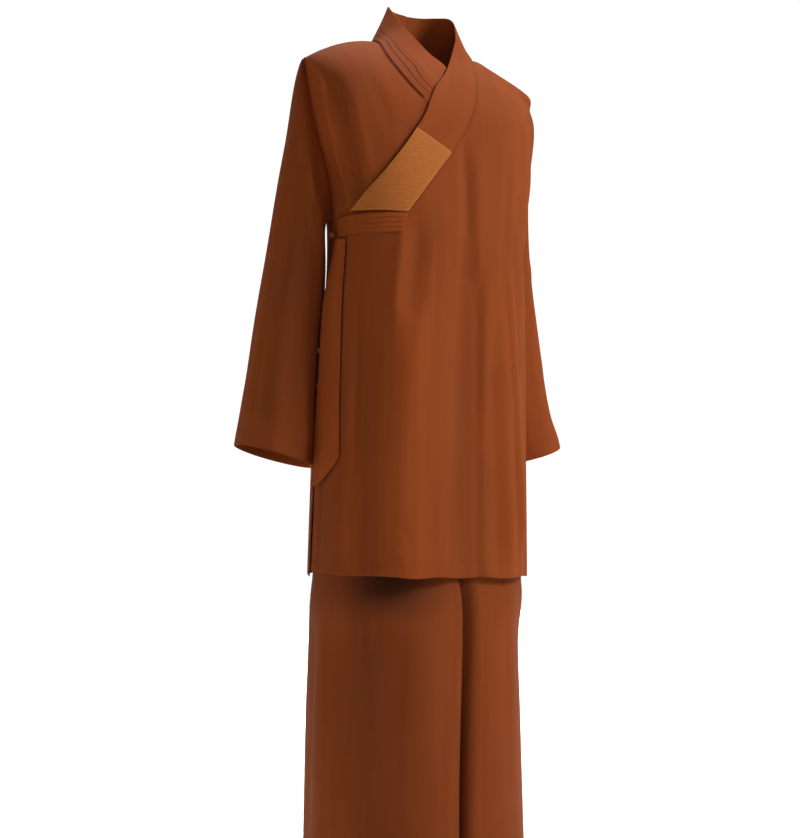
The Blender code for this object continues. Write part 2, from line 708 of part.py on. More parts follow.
def across(row, f):
    """Outer point and out direction at a share across a collar line."""
    k = min(max(bisect_right(COLLAR_ACROSS, f) - 1, 0), len(COLLAR_ACROSS) - 2)
    g = (f - COLLAR_ACROSS[k]) / (COLLAR_ACROSS[k + 1] - COLLAR_ACROSS[k])
    point = row[k][0].lerp(row[k + 1][0], g)
    inside = row[k][1].lerp(row[k + 1][1], g)
    return point, (point - inside).normalized()


def tuck_stations(collar_rows, low, high):
    """Lines across a tuck, from the shoulder line down to the left collar's edge."""
    first = 4
    last = first + len(NECK_EDGE)
    for i in range(first, last + 2):
        if i < last + 1:
            ps = [across(collar_rows[i], f) for f in (low, high)]
        else:
            ps = []
            for f in (low, high):
                reach = straight(TUCK_ENDS, f)[0]
                a, way_a = across(collar_rows[last], f)
                b, way_b = across(collar_rows[last + 1], f)
                ps.append((a.lerp(b, reach), way_a.lerp(way_b, reach).normalized()))
        yield [p for p, _ in ps], [w for _, w in ps]


def side_band(front_rows):
    """Tucked band along the top of the lap: four low ridges over a plain inside."""
    top, low = front_rows[len(CHEST_DROPS) - 1], front_rows[len(CHEST_DROPS)]
    rows = []
    for k in range(2 * BAND_TUCKS + 1):
        f = mix(0.03, 0.95, k / (2 * BAND_TUCKS))
        thick = BAND_WALL + (BAND_RIDGE if k % 2 else 0.0)
        line = [[a.lerp(b, f) for a, b in zip(top[j], low[j])] for j in range(LAP_COLUMNS + 1)]
        slant = BAND_SLANT * k / (2 * BAND_TUCKS)
        line[-1] = [a.lerp(b, slant) for a, b in zip(line[-1], line[-2])]
        rows.append([(out + (out - inside).normalized() * (BAND_LIFT + thick),
                      out + (out - inside).normalized() * BAND_LIFT) for out, inside in line])
    return build_shell("side_band", rows, RUST_DARK)


def tie():
    """Flat tie hanging from the side closing, its end cut on a slant."""
    top, low = TIE[0][0], TIE[-1][0]
    points = []
    for k in range(TIE_ROWS + 1):
        f = k / TIE_ROWS
        line = []
        for j in range(5):
            g = j / 4
            end = low - TIE_END_LIFT * (1 - g) ** 1.8
            drop = mix(top, end, f)
            right_turn, right_lift, left_turn, left_lift = along(TIE, drop)
            near = body(right_turn, drop) + body_out(right_turn, drop) * right_lift
            far = body(left_turn, drop) + body_out(left_turn, drop) * left_lift
            bow = 0.0035 * math.sin(math.pi * g)
            line.append(near.lerp(far, g) + body_out(mix(right_turn, left_turn, g), drop) * bow)
        points.append(line)
    outs = outward(points)
    rows = [[layers(p, way, 0.0, TIE_WALL) for p, way in zip(line, ways)]
            for line, ways in zip(points, outs)]
    return build_shell("tie_ribbon", rows, RUST)


def knot(number, turn, drop, reach, radius):
    """A cloth button: a stem against the coat with a round knot on its end."""
    base, out = body(turn, drop), body_out(turn, drop)
    profile = [(0.0028, 0.0004), (0.0020, 0.0014), (0.0020, reach - radius)]
    profile += [(radius * math.sin(math.radians(a)), reach - radius * math.cos(math.radians(a)))
                for a in (40, 65, 90, 115, 140, 162)]
    mesh = bmesh.new()
    side = out.orthogonal().normalized()
    other = out.cross(side)
    steps = 10
    rings = []
    for width, height in profile:
        ring = []
        for k in range(steps):
            a = 2 * math.pi * k / steps
            ring.append(mesh.verts.new(base + out * height
                                       + side * width * math.cos(a) + other * width * math.sin(a)))
        rings.append(ring)
    for lower, upper in zip(rings, rings[1:]):
        for k in range(steps):
            m = (k + 1) % steps
            mesh.faces.new([lower[k], lower[m], upper[m], upper[k]])
    mesh.faces.new(rings[0][::-1])
    mesh.faces.new(rings[-1])
    if mesh.calc_volume(signed=True) < 0:
        bmesh.ops.reverse_faces(mesh, faces=mesh.faces)
    return place_mesh(f"knot_{number}", mesh, RUST_DARK)


def leg_section(height, side):
    """Outside points round one trouser leg and their out directions."""
    half, front, back_depth, middle, gap, corner = along(LEGS, height)
    open_wall = height <= CROTCH
    start = gap / 2 + (corner if open_wall else 0.0)
    points = []
    for k in range(LEG_ARC + 1):
        turn = 180 * k / LEG_ARC
        s, c = math.sin(math.radians(turn)), math.cos(math.radians(turn))
        rho = (abs(s) ** LEG_SQUARE + abs(c) ** LEG_SQUARE) ** (-1 / LEG_SQUARE)
        depth = front if c > 0 else back_depth
        x = max(half * s * rho, 0.0) * (half - start) / half + start
        y = middle - depth * c * rho
        bulge = folded(LEG_FOLDS, turn + (side > 0) * 6, -height) * ease((-height - 0.86) / 0.16)
        points.append(Vector((x + s * bulge, y - c * bulge, height)))
    front_y, back_y = points[0].y, points[-1].y
    wall = [(back_y - corner, 0.0)]
    for k in range(1, 4):
        wall.append((mix(back_y - corner, front_y + corner, k / 4), 0.0))
    wall.append((front_y + corner, 0.0))
    near = gap / 2 + 0.3 * corner
    points.append(Vector((near, back_y - 0.3 * corner, height)))
    points += [Vector((gap / 2, y, height)) for y, _ in wall]
    points.append(Vector((near, front_y + 0.3 * corner, height)))
    meets = along(LEG_MEETS, height)[0] if open_wall else 0.0
    for point in points:
        forward = ease((-point.y - MEET_BEGINS) / MEET_SPREAD)
        point.x = side * point.x + meets * forward * (1 - point.x / half)
    return points


def leg(name, side):
    """A trouser leg: half a shell above the crotch, a whole tube below it."""
    points = [leg_section(height, side) for height in LEG_HEIGHTS]
    crotch_row = LEG_HEIGHTS.index(CROTCH)
    rows = []
    for i, line in enumerate(points):
        row = []
        for j, point in enumerate(line):
            before, after = line[j - 1], line[(j + 1) % len(line)]
            way = (after - before).cross(Vector((0, 0, 1))) * side
            if i < crotch_row and j in (0, LEG_ARC):
                way = Vector((0, -1 if j == 0 else 1, 0))
            way.normalize()
            row.append(layers(point, way, 0.0, CLOTH))
        rows.append(row)
    return build_shell(name, rows, RUST_DARK, ring=True,
                       keep=lambda i, j: i >= crotch_row or j < LEG_ARC)


def waistband():
    half, front, back_depth, middle = along(LEGS, LEG_HEIGHTS[0])[:4]
    rows = []
    for height in (WAIST_TOP, (WAIST_TOP + LEG_HEIGHTS[0]) / 2, LEG_HEIGHTS[0] + SEAM):
        line = []
        for k in range(WAIST_STEPS):
            turn = 2 * math.pi * k / WAIST_STEPS
            s, c = math.sin(turn), math.cos(turn)
            rho = (abs(s) ** LEG_SQUARE + abs(c) ** LEG_SQUARE) ** (-1 / LEG_SQUARE)
            depth = front if c > 0 else back_depth
            point = Vector((half * s * rho, middle - depth * c * rho, height))
            away = Vector((s, -c, 0)).normalized()
            line.append(layers(point, away, 0.0, 0.0024))
        rows.append(line)
    return build_shell("waistband", rows, RUST_DARK, ring=True)


def main():
    clear_scene()
    back()
    front_rows = front_left()
    front_right()
    sleeve("sleeve_left", 1)
    sleeve("sleeve_right", -1)
    left_rows = collar("collar_left", 1)
    right_rows = collar("collar_right", -1)
    patch(left_rows)
    tucks(right_rows)
    side_band(front_rows)
    tie()
    for number, (turn, drop, reach, radius) in enumerate(KNOTS, 1):
        knot(number, turn, drop, reach, radius)
    leg("trouser_left", 1)
    leg("trouser_right", -1)
    waistband()


main()
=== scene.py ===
# Looks of a crossover coat and its wide trousers, in their worn hollow form.
# Turn 0 is the front and +90 the wearer's left; drop is how far below the neck point.
import math

import bmesh
import bpy
import numpy as np
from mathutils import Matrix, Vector


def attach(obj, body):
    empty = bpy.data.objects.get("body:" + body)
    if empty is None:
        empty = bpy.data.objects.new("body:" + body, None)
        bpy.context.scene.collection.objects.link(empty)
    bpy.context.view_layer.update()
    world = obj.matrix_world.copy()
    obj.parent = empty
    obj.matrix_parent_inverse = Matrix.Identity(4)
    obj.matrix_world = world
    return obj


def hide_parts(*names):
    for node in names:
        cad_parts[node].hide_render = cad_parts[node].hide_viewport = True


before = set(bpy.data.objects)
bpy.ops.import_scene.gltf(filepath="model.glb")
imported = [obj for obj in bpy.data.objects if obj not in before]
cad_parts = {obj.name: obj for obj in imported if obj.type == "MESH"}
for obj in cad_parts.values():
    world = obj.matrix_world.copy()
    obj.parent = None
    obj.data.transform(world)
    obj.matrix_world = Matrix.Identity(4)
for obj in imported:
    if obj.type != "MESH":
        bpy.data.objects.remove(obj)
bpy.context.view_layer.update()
print("frame loaded")


# camera and light

view = {
    "turn": 32.0,           # degrees to the wearer's right of the front
    "distance": 2.1,
    "height": -0.678,
    "focalPixels": 1240.0,
    "axisRight": 21.0,      # the figure's axis lies this many pixels right of the middle
    "horizonLow": 31.0,
    "imageTall": 838.0,
    "sensor": 36.0,
}

turnAway = math.radians(view["turn"])
forward = Vector((math.sin(turnAway), math.cos(turnAway), 0))
rightWay = Vector((math.cos(turnAway), -math.sin(turnAway), 0))
cameraData = bpy.data.cameras.new("camera")
camera = bpy.data.objects.new("camera", cameraData)
bpy.context.collection.objects.link(camera)
camera.location = -forward * view["distance"] + Vector((0, 0, view["height"]))
looking = (forward * view["focalPixels"] - rightWay * view["axisRight"]
           + Vector((0, 0, view["horizonLow"])))
camera.rotation_euler = looking.to_track_quat("-Z", "Y").to_euler()
cameraData.sensor_width = view["sensor"]
cameraData.lens = view["focalPixels"] * view["sensor"] / view["imageTall"]
bpy.context.scene.camera = camera

lights = (
    # name, turn seen from above, distance, height, size, watts, colour
    ("key", 42.0, 2.7, 1.15, 1.1, 77.0, (1.0, 0.985, 0.96)),
    ("side fill", -80.0, 3.4, 0.0, 2.2, 15.0, (1.0, 0.985, 0.97)),
    ("front fill", -25.0, 3.2, 0.4, 2.2, 9.0, (1.0, 0.985, 0.97)),
)
lampAim = Vector((0, 0, -0.45))     # every lamp looks at the coat's middle


def addLight(name, turn, distance, height, size, watts, colour):
    data = bpy.data.lights.new(name, "AREA")
    data.size = size
    data.energy = watts
    data.color = colour
    lamp = bpy.data.objects.new(name, data)
    bpy.context.collection.objects.link(lamp)
    angle = math.radians(turn)
    lamp.location = (distance * math.sin(angle), -distance * math.cos(angle), height)
    aim = lampAim - lamp.location
    lamp.rotation_euler = aim.to_track_quat("-Z", "Y").to_euler()


for row in lights:
    addLight(*row)

floorLight = {"behind": 2.3, "height": 1.9, "size": 3.4, "watts": 115.0, "beam": 62.0}
wash = bpy.data.lights.new("floor wash", "AREA")
wash.size = floorLight["size"]
wash.energy = floorLight["watts"]
wash.spread = math.radians(floorLight["beam"])
washLamp = bpy.data.objects.new("floor wash", wash)     # points straight down
bpy.context.collection.objects.link(washLamp)
washLamp.location = forward * floorLight["behind"] + Vector((0, 0, floorLight["height"]))

room = {"glow": 0.09, "white": 1.05}     # light of the white walls, and how they look
world = bpy.data.worlds.new("white room")
bpy.context.scene.world = world
world.use_nodes = True
sky = world.node_tree.nodes["Background"]
sky.inputs["Color"].default_value = (1, 1, 1, 1)
sky.inputs["Strength"].default_value = room["glow"]
backdrop = world.node_tree.nodes.new("ShaderNodeBackground")
backdrop.inputs["Color"].default_value = (1, 1, 1, 1)
backdrop.inputs["Strength"].default_value = room["white"]
chooser = world.node_tree.nodes.new("ShaderNodeMixShader")
rays = world.node_tree.nodes.new("ShaderNodeLightPath")
links = world.node_tree.links
links.new(rays.outputs["Is Camera Ray"], chooser.inputs[0])
links.new(sky.outputs[0], chooser.inputs[1])
links.new(backdrop.outputs[0], chooser.inputs[2])
links.new(chooser.outputs[0], world.node_tree.nodes["World Output"].inputs["Surface"])
bpy.context.scene.view_settings.view_transform = "Standard"
print("camera and lights placed")


# shader maths written as plain expressions

class Value:
    def __init__(self, maker, socket):
        self.maker = maker
        self.socket = socket

    def maths(self, operation, *others, swap=False):
        inputs = [self, *others]
        if swap:
            inputs.reverse()
        settings = {"operation": operation}
        return self.maker.node("ShaderNodeMath", settings, dict(enumerate(inputs)))

    def __add__(self, other):
        return self.maths("ADD", other)

    def __sub__(self, other):
        return self.maths("SUBTRACT", other)

    def __rsub__(self, other):
        return self.maths("SUBTRACT", other, swap=True)

    def __mul__(self, other):
        return self.maths("MULTIPLY", other)

    def __truediv__(self, other):
        return self.maths("DIVIDE", other)

    __radd__ = __add__
    __rmul__ = __mul__

    def sine(self):
        return self.maths("SINE")

    def size(self):
        return self.maths("ABSOLUTE")

    def lowest(self, other):
        return self.maths("MINIMUM", other)

    def highest(self, other):
        return self.maths("MAXIMUM", other)


class Maker:
    def __init__(self, name):
        self.material = bpy.data.materials.new(name)
        self.material.use_nodes = True
        self.tree = self.material.node_tree
        self.shader = self.tree.nodes["Principled BSDF"]

    def node(self, kind, settings, inputs, output=0):
        made = self.tree.nodes.new(kind)
        for key, value in settings.items():
            setattr(made, key, value)
        for key, value in inputs.items():
            self.join(made.inputs[key], value)
        return Value(self, made.outputs[output])

    def join(self, socket, value):
        if isinstance(value, Value):
            self.tree.links.new(value.socket, socket)
        else:
            socket.default_value = value

    def split(self, vector):
        made = self.tree.nodes.new("ShaderNodeSeparateXYZ")
        self.tree.links.new(vector.socket, made.inputs[0])
        return [Value(self, socket) for socket in made.outputs]

    def place(self, x, y, z=0.0):
        return self.node("ShaderNodeCombineXYZ", {}, {0: x, 1: y, 2: z})

    def noise(self, vector, scale, detail=2.0):
        inputs = {"Vector": vector, "Scale": scale, "Detail": detail}
        return self.node("ShaderNodeTexNoise", {}, inputs)

    def blend(self, factor, first, second, mode="MIX"):
        settings = {"data_type": "RGBA", "blend_type": mode, "clamp_factor": True}
        inputs = {0: factor, 6: first, 7: second}
        return self.node("ShaderNodeMix", settings, inputs, output=2)

    def relief(self, depth, strength):
        inputs = {"Strength": strength, "Distance": 1.0, "Height": depth}
        bump = self.node("ShaderNodeBump", {}, inputs)
        self.join(self.shader.inputs["Normal"], bump)


clothLook = {
    "rust": (0.350, 0.074, 0.0108, 1),
    "rustLow": (0.265, 0.049, 0.0068, 1),   # same cloth where the dye lies heavier
    "cloudShare": 0.9,          # how much each pattern adds to the unevenness of the dye
    "streakShare": 0.7,
    "slubShare": 0.35,
    "dyeLevel": 0.72,
    "cloudSize": (7.0, 5.0),    # patterns to the metre, across and along
    "streakSize": (60.0, 3.5),
    "slubAcrossSize": (40.0, 900.0),
    "slubAlongSize": (900.0, 26.0),
    "thread": 0.0007,           # spacing of the weave
    "weaveDepth": 0.00010,
    "slubDepth": 0.00022,
    "stitch": 0.0028,           # metres from one machine stitch to the next
    "stitchWidth": 0.0007,
    "lineDark": 0.55,           # how dark a stitched line is against its cloth
    "lineShare": 0.75,
    "lineDepth": 0.0005,
    "roughness": 0.78,
    "slubRoughness": 0.12,
    "sheen": 0.05,
    "sheenTint": (1.0, 0.50, 0.28, 1),
    "sheenRoughness": 0.45,
    "gloss": 0.16,
    "relief": 0.8,
}


def stitched(run, across, centre):
    # one row of machine stitches
    near = 1 - ((across - centre).size() / clothLook["stitchWidth"]).lowest(1.0)
    dash = (run * (math.pi / clothLook["stitch"])).sine() * 2.0 + 0.6
    return near * dash.lowest(1.0).highest(0.0)


def woven(maker):
    # metres across and along the cloth, and the weave on them
    coords = maker.node("ShaderNodeUVMap", {"uv_map": "metres"}, {})
    u, v = maker.split(coords)[:2]
    turnsPerMetre = math.pi / clothLook["thread"]
    return u, v, (u * turnsPerMetre).sine() * (v * turnsPerMetre).sine()


def patterned(maker, u, v, size, detail, shift=0.0, depth=0.0):
    across, down = size
    return maker.noise(maker.place(u * across + shift, v * down, depth), 1.0, detail)


def shaded(maker, colour):
    # a tone held by the mesh multiplies the cloth's colour: it darkens seams and stitched lines,
    # and holds painted shade in folds, creases, hollows and beside overlaps, and painted light on
    # crease ridges, the right shoulder and the right sleeve's head
    marksAndShading = maker.node("ShaderNodeAttribute", {"attribute_name": "marksAndShading"}, {}, output=2)
    shade = maker.node("ShaderNodeCombineXYZ", {}, {0: marksAndShading, 1: marksAndShading, 2: marksAndShading})
    return maker.blend(1.0, colour, shade, mode="MULTIPLY")


def dyed(colour, bright):
    return tuple(bright * part for part in colour[:3]) + (1,)


def makeCloth(name, bright=1.0, hemLine=None):
    maker = Maker(name)
    u, v, weave = woven(maker)
    slubAcross = patterned(maker, u, v, clothLook["slubAcrossSize"], 3.0)
    slubAlong = patterned(maker, u, v, clothLook["slubAlongSize"], 3.0, shift=7.3)
    cloud = patterned(maker, u, v, clothLook["cloudSize"], 2.0, depth=1.7)
    streak = patterned(maker, u, v, clothLook["streakSize"], 2.0, depth=4.1)
    rust, low = dyed(clothLook["rust"], bright), dyed(clothLook["rustLow"], bright)
    dye = cloud * clothLook["cloudShare"] + streak * clothLook["streakShare"]
    dye = dye + (slubAlong + slubAcross) * clothLook["slubShare"] - clothLook["dyeLevel"]
    colour = maker.blend(dye, low, rust)
    depth = weave * clothLook["weaveDepth"] + (slubAcross + slubAlong) * clothLook["slubDepth"]
    if hemLine:
        line = stitched(u, v, hemLine)
        dark = dyed(low, clothLook["lineDark"])
        colour = maker.blend(line * clothLook["lineShare"], colour, dark)
        depth = depth - line * clothLook["lineDepth"]
    slubRoughness = clothLook["slubRoughness"]
    rough = slubAlong * slubRoughness + (clothLook["roughness"] - slubRoughness / 2)
    maker.join(maker.shader.inputs["Base Color"], shaded(maker, colour))
    maker.join(maker.shader.inputs["Roughness"], rough)
    maker.relief(depth, clothLook["relief"])
    maker.shader.inputs["Sheen Weight"].default_value = clothLook["sheen"]
    maker.shader.inputs["Sheen Tint"].default_value = clothLook["sheenTint"]
    maker.shader.inputs["Sheen Roughness"].default_value = clothLook["sheenRoughness"]
    maker.shader.inputs["Specular IOR Level"].default_value = clothLook["gloss"]
    return maker.material


# tables read on smooth curves

def along(rows, place, smooth=True):
    table = np.array(rows, float)
    keys, values = table[:, 0], table[:, 1:]
    last = len(keys) - 1
    place = np.clip(np.asarray(place, float), keys[0], keys[-1])
    k = np.clip(np.searchsorted(keys, place, side="right") - 1, 0, last - 1)
    span = (keys[k + 1] - keys[k])[..., None]
    f = (place - keys[k])[..., None] / span
    a, b = values[k], values[k + 1]
    if not smooth:
        return np.moveaxis(a + (b - a) * f, -1, 0)
    low = np.maximum(np.arange(last + 1) - 1, 0)
    high = np.minimum(np.arange(last + 1) + 1, last)
    slopes = (values[high] - values[low]) / (keys[high] - keys[low])[:, None]
    m, n = slopes[k], slopes[k + 1]
    curve = ((2 * f**3 - 3 * f**2 + 1) * a + (f**3 - 2 * f**2 + f) * span * m
             + (3 * f**2 - 2 * f**3) * b + (f**3 - f**2) * span * n)
    return np.moveaxis(curve, -1, 0)


def mix(a, b, f):
    return a + (b - a) * f


def ease(f):
    f = np.clip(f, 0.0, 1.0)
    return f * f * (3 - 2 * f)


foldEnds = (0.30, 0.12)         # share of a long fold that rises and that dies away
creaseEnds = 0.30


def foldHeight(rows, turn, place):
    # long soft folds: each drifts from one turn to another on its way down
    rise, fall = foldEnds
    height = np.zeros(np.broadcast(turn, place).shape)
    for topTurn, lowTurn, top, low, size, width in rows:
        f = (place - top) / (low - top)
        off = (turn - mix(topTurn, lowTurn, f) + 180) % 360 - 180
        height += size * ease(f / rise) * ease((1 - f) / fall) * np.exp(-(off / width) ** 2)
    return height


def creaseHeight(rows, turn, place, perDegree):
    # short creases: each runs from one point to another and dies away at its ends
    height = np.zeros(np.broadcast(turn, place).shape)
    for startTurn, startPlace, endTurn, endPlace, size, width in rows:
        across = ((turn - startTurn + 180) % 360 - 180) * perDegree
        down = place - startPlace
        runAcross = (endTurn - startTurn) * perDegree
        runDown = endPlace - startPlace
        f = (across * runAcross + down * runDown) / (runAcross**2 + runDown**2)
        g = np.clip(f, 0, 1)
        gap = np.hypot(across - g * runAcross, down - g * runDown)
        taper = ease(g / creaseEnds) * ease((1 - g) / creaseEnds)
        height += size * taper * np.exp(-(gap / width) ** 2)
    return height


def spread(count, start=(), end=()):
    # shares from 0 to 1, evenly spaced but for some set places near the ends
    even = np.linspace(0, 1, count)
    low = start[-1] if start else 0.0
    high = 1 - end[-1] if end else 1.0
    middle = [f for f in even if low < f < high]
    return np.array([0.0, *start, *middle, *[1 - f for f in reversed(end)], 1.0])


# walls of cloth

def directions(points, ring=False):
    # straight out of each point of a grid, from its neighbours
    down = np.gradient(points, axis=0)
    if ring:
        beside = np.roll(points, -1, axis=1) - np.roll(points, 1, axis=1)
    else:
        beside = np.gradient(points, axis=1)
    way = np.cross(down, beside)
    return way / np.maximum(np.linalg.norm(way, axis=-1, keepdims=True), 1e-12)


edgeRound = 0.38                # how far a turned edge stands out, as a share of the wall


def buildWall(name, outer, inner, metres, material, ring=False, keep=None, marksAndShading=None):
    rows, columns = outer.shape[:2]
    spans = columns if ring else columns - 1
    kept = np.ones((rows - 1, spans), bool) if keep is None else keep
    cells = np.argwhere(kept)
    count = rows * columns
    i, j = cells[:, 0], cells[:, 1]
    k = (j + 1) % columns
    corners = np.stack([i * columns + j, i * columns + k,
                        (i + 1) * columns + k, (i + 1) * columns + j], 1)
    faces = [corners, corners[:, ::-1] + count]
    padded = np.pad(kept, ((1, 1), (0, 0)))
    left, right = np.roll(kept, 1, axis=1), np.roll(kept, -1, axis=1)
    if not ring:
        left[:, 0] = False
        right[:, -1] = False
    openSides = (~padded[:-2], ~right, ~padded[2:], ~left)
    middles = np.zeros((count, 3))
    weights = np.zeros(count)
    rims = []
    flatOuter = outer.reshape(-1, 3)
    flatInner = inner.reshape(-1, 3)
    for side, missing in enumerate(openSides):
        bare = missing[i, j]
        start = corners[bare][:, side]
        end = corners[bare][:, (side + 1) % 4]
        back = corners[bare][:, (side + 3) % 4]
        backEnd = corners[bare][:, (side + 2) % 4]
        for at, behind in ((start, back), (end, backEnd)):
            way = flatOuter[at] - flatOuter[behind]
            way /= np.maximum(np.linalg.norm(way, axis=1, keepdims=True), 1e-9)
            np.add.at(middles, at, way)
            np.add.at(weights, at, 1)
        rims.append(np.stack([start, end], 1))
    rims = np.concatenate(rims)
    edge = np.flatnonzero(weights)
    way = middles[edge]
    way /= np.maximum(np.linalg.norm(way, axis=1, keepdims=True), 1e-9)
    wall = np.linalg.norm(flatOuter[edge] - flatInner[edge], axis=1, keepdims=True)
    rounded = (flatOuter[edge] + flatInner[edge]) / 2 + way * wall * edgeRound
    place = np.full(count, -1)
    place[edge] = 2 * count + np.arange(len(edge))
    a, b = rims[:, 0], rims[:, 1]
    faces.append(np.stack([b, a, place[a], place[b]], 1))
    faces.append(np.stack([place[b], place[a], a + count, b + count], 1))
    vertices = np.concatenate([flatOuter, flatInner, rounded])
    flat = np.asarray(metres, float).reshape(-1, 2)
    uv = np.concatenate([flat, flat, flat[edge]])
    shade = np.ones(count) if marksAndShading is None else np.asarray(marksAndShading, float).reshape(-1)
    shade = np.concatenate([shade, shade, shade[edge]])
    quads = np.concatenate(faces)
    used = np.unique(quads)
    renumber = np.full(len(vertices), -1)
    renumber[used] = np.arange(len(used))
    quads = renumber[quads]
    mesh = bpy.data.meshes.new(name)
    mesh.from_pydata(vertices[used].tolist(), [], quads.tolist())
    layer = mesh.uv_layers.new(name="metres")
    layer.data.foreach_set("uv", uv[used][quads.reshape(-1)].astype(np.float32).reshape(-1))
    attribute = mesh.attributes.new("marksAndShading", "FLOAT", "POINT")
    attribute.data.foreach_set("value", shade[used].astype(np.float32))
    shell = bmesh.new()
    shell.from_mesh(mesh)
    if shell.calc_volume(signed=True) < 0:
        bmesh.ops.reverse_faces(shell, faces=shell.faces)
        shell.to_mesh(mesh)
    shell.free()
    mesh.shade_smooth()
    mesh.materials.append(material)
    piece = bpy.data.objects.new(name, mesh)
    bpy.context.collection.objects.link(piece)
    piece["surface"] = float(np.sum([face.area for face in mesh.polygons])) / 2
    print(f"{name}: {2 * len(quads)} triangles, {piece['surface']:.3f} square metres")
    return piece


def settle(piece, node):
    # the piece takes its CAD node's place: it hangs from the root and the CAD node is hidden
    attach(piece, "root")
    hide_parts(node)


# the coat

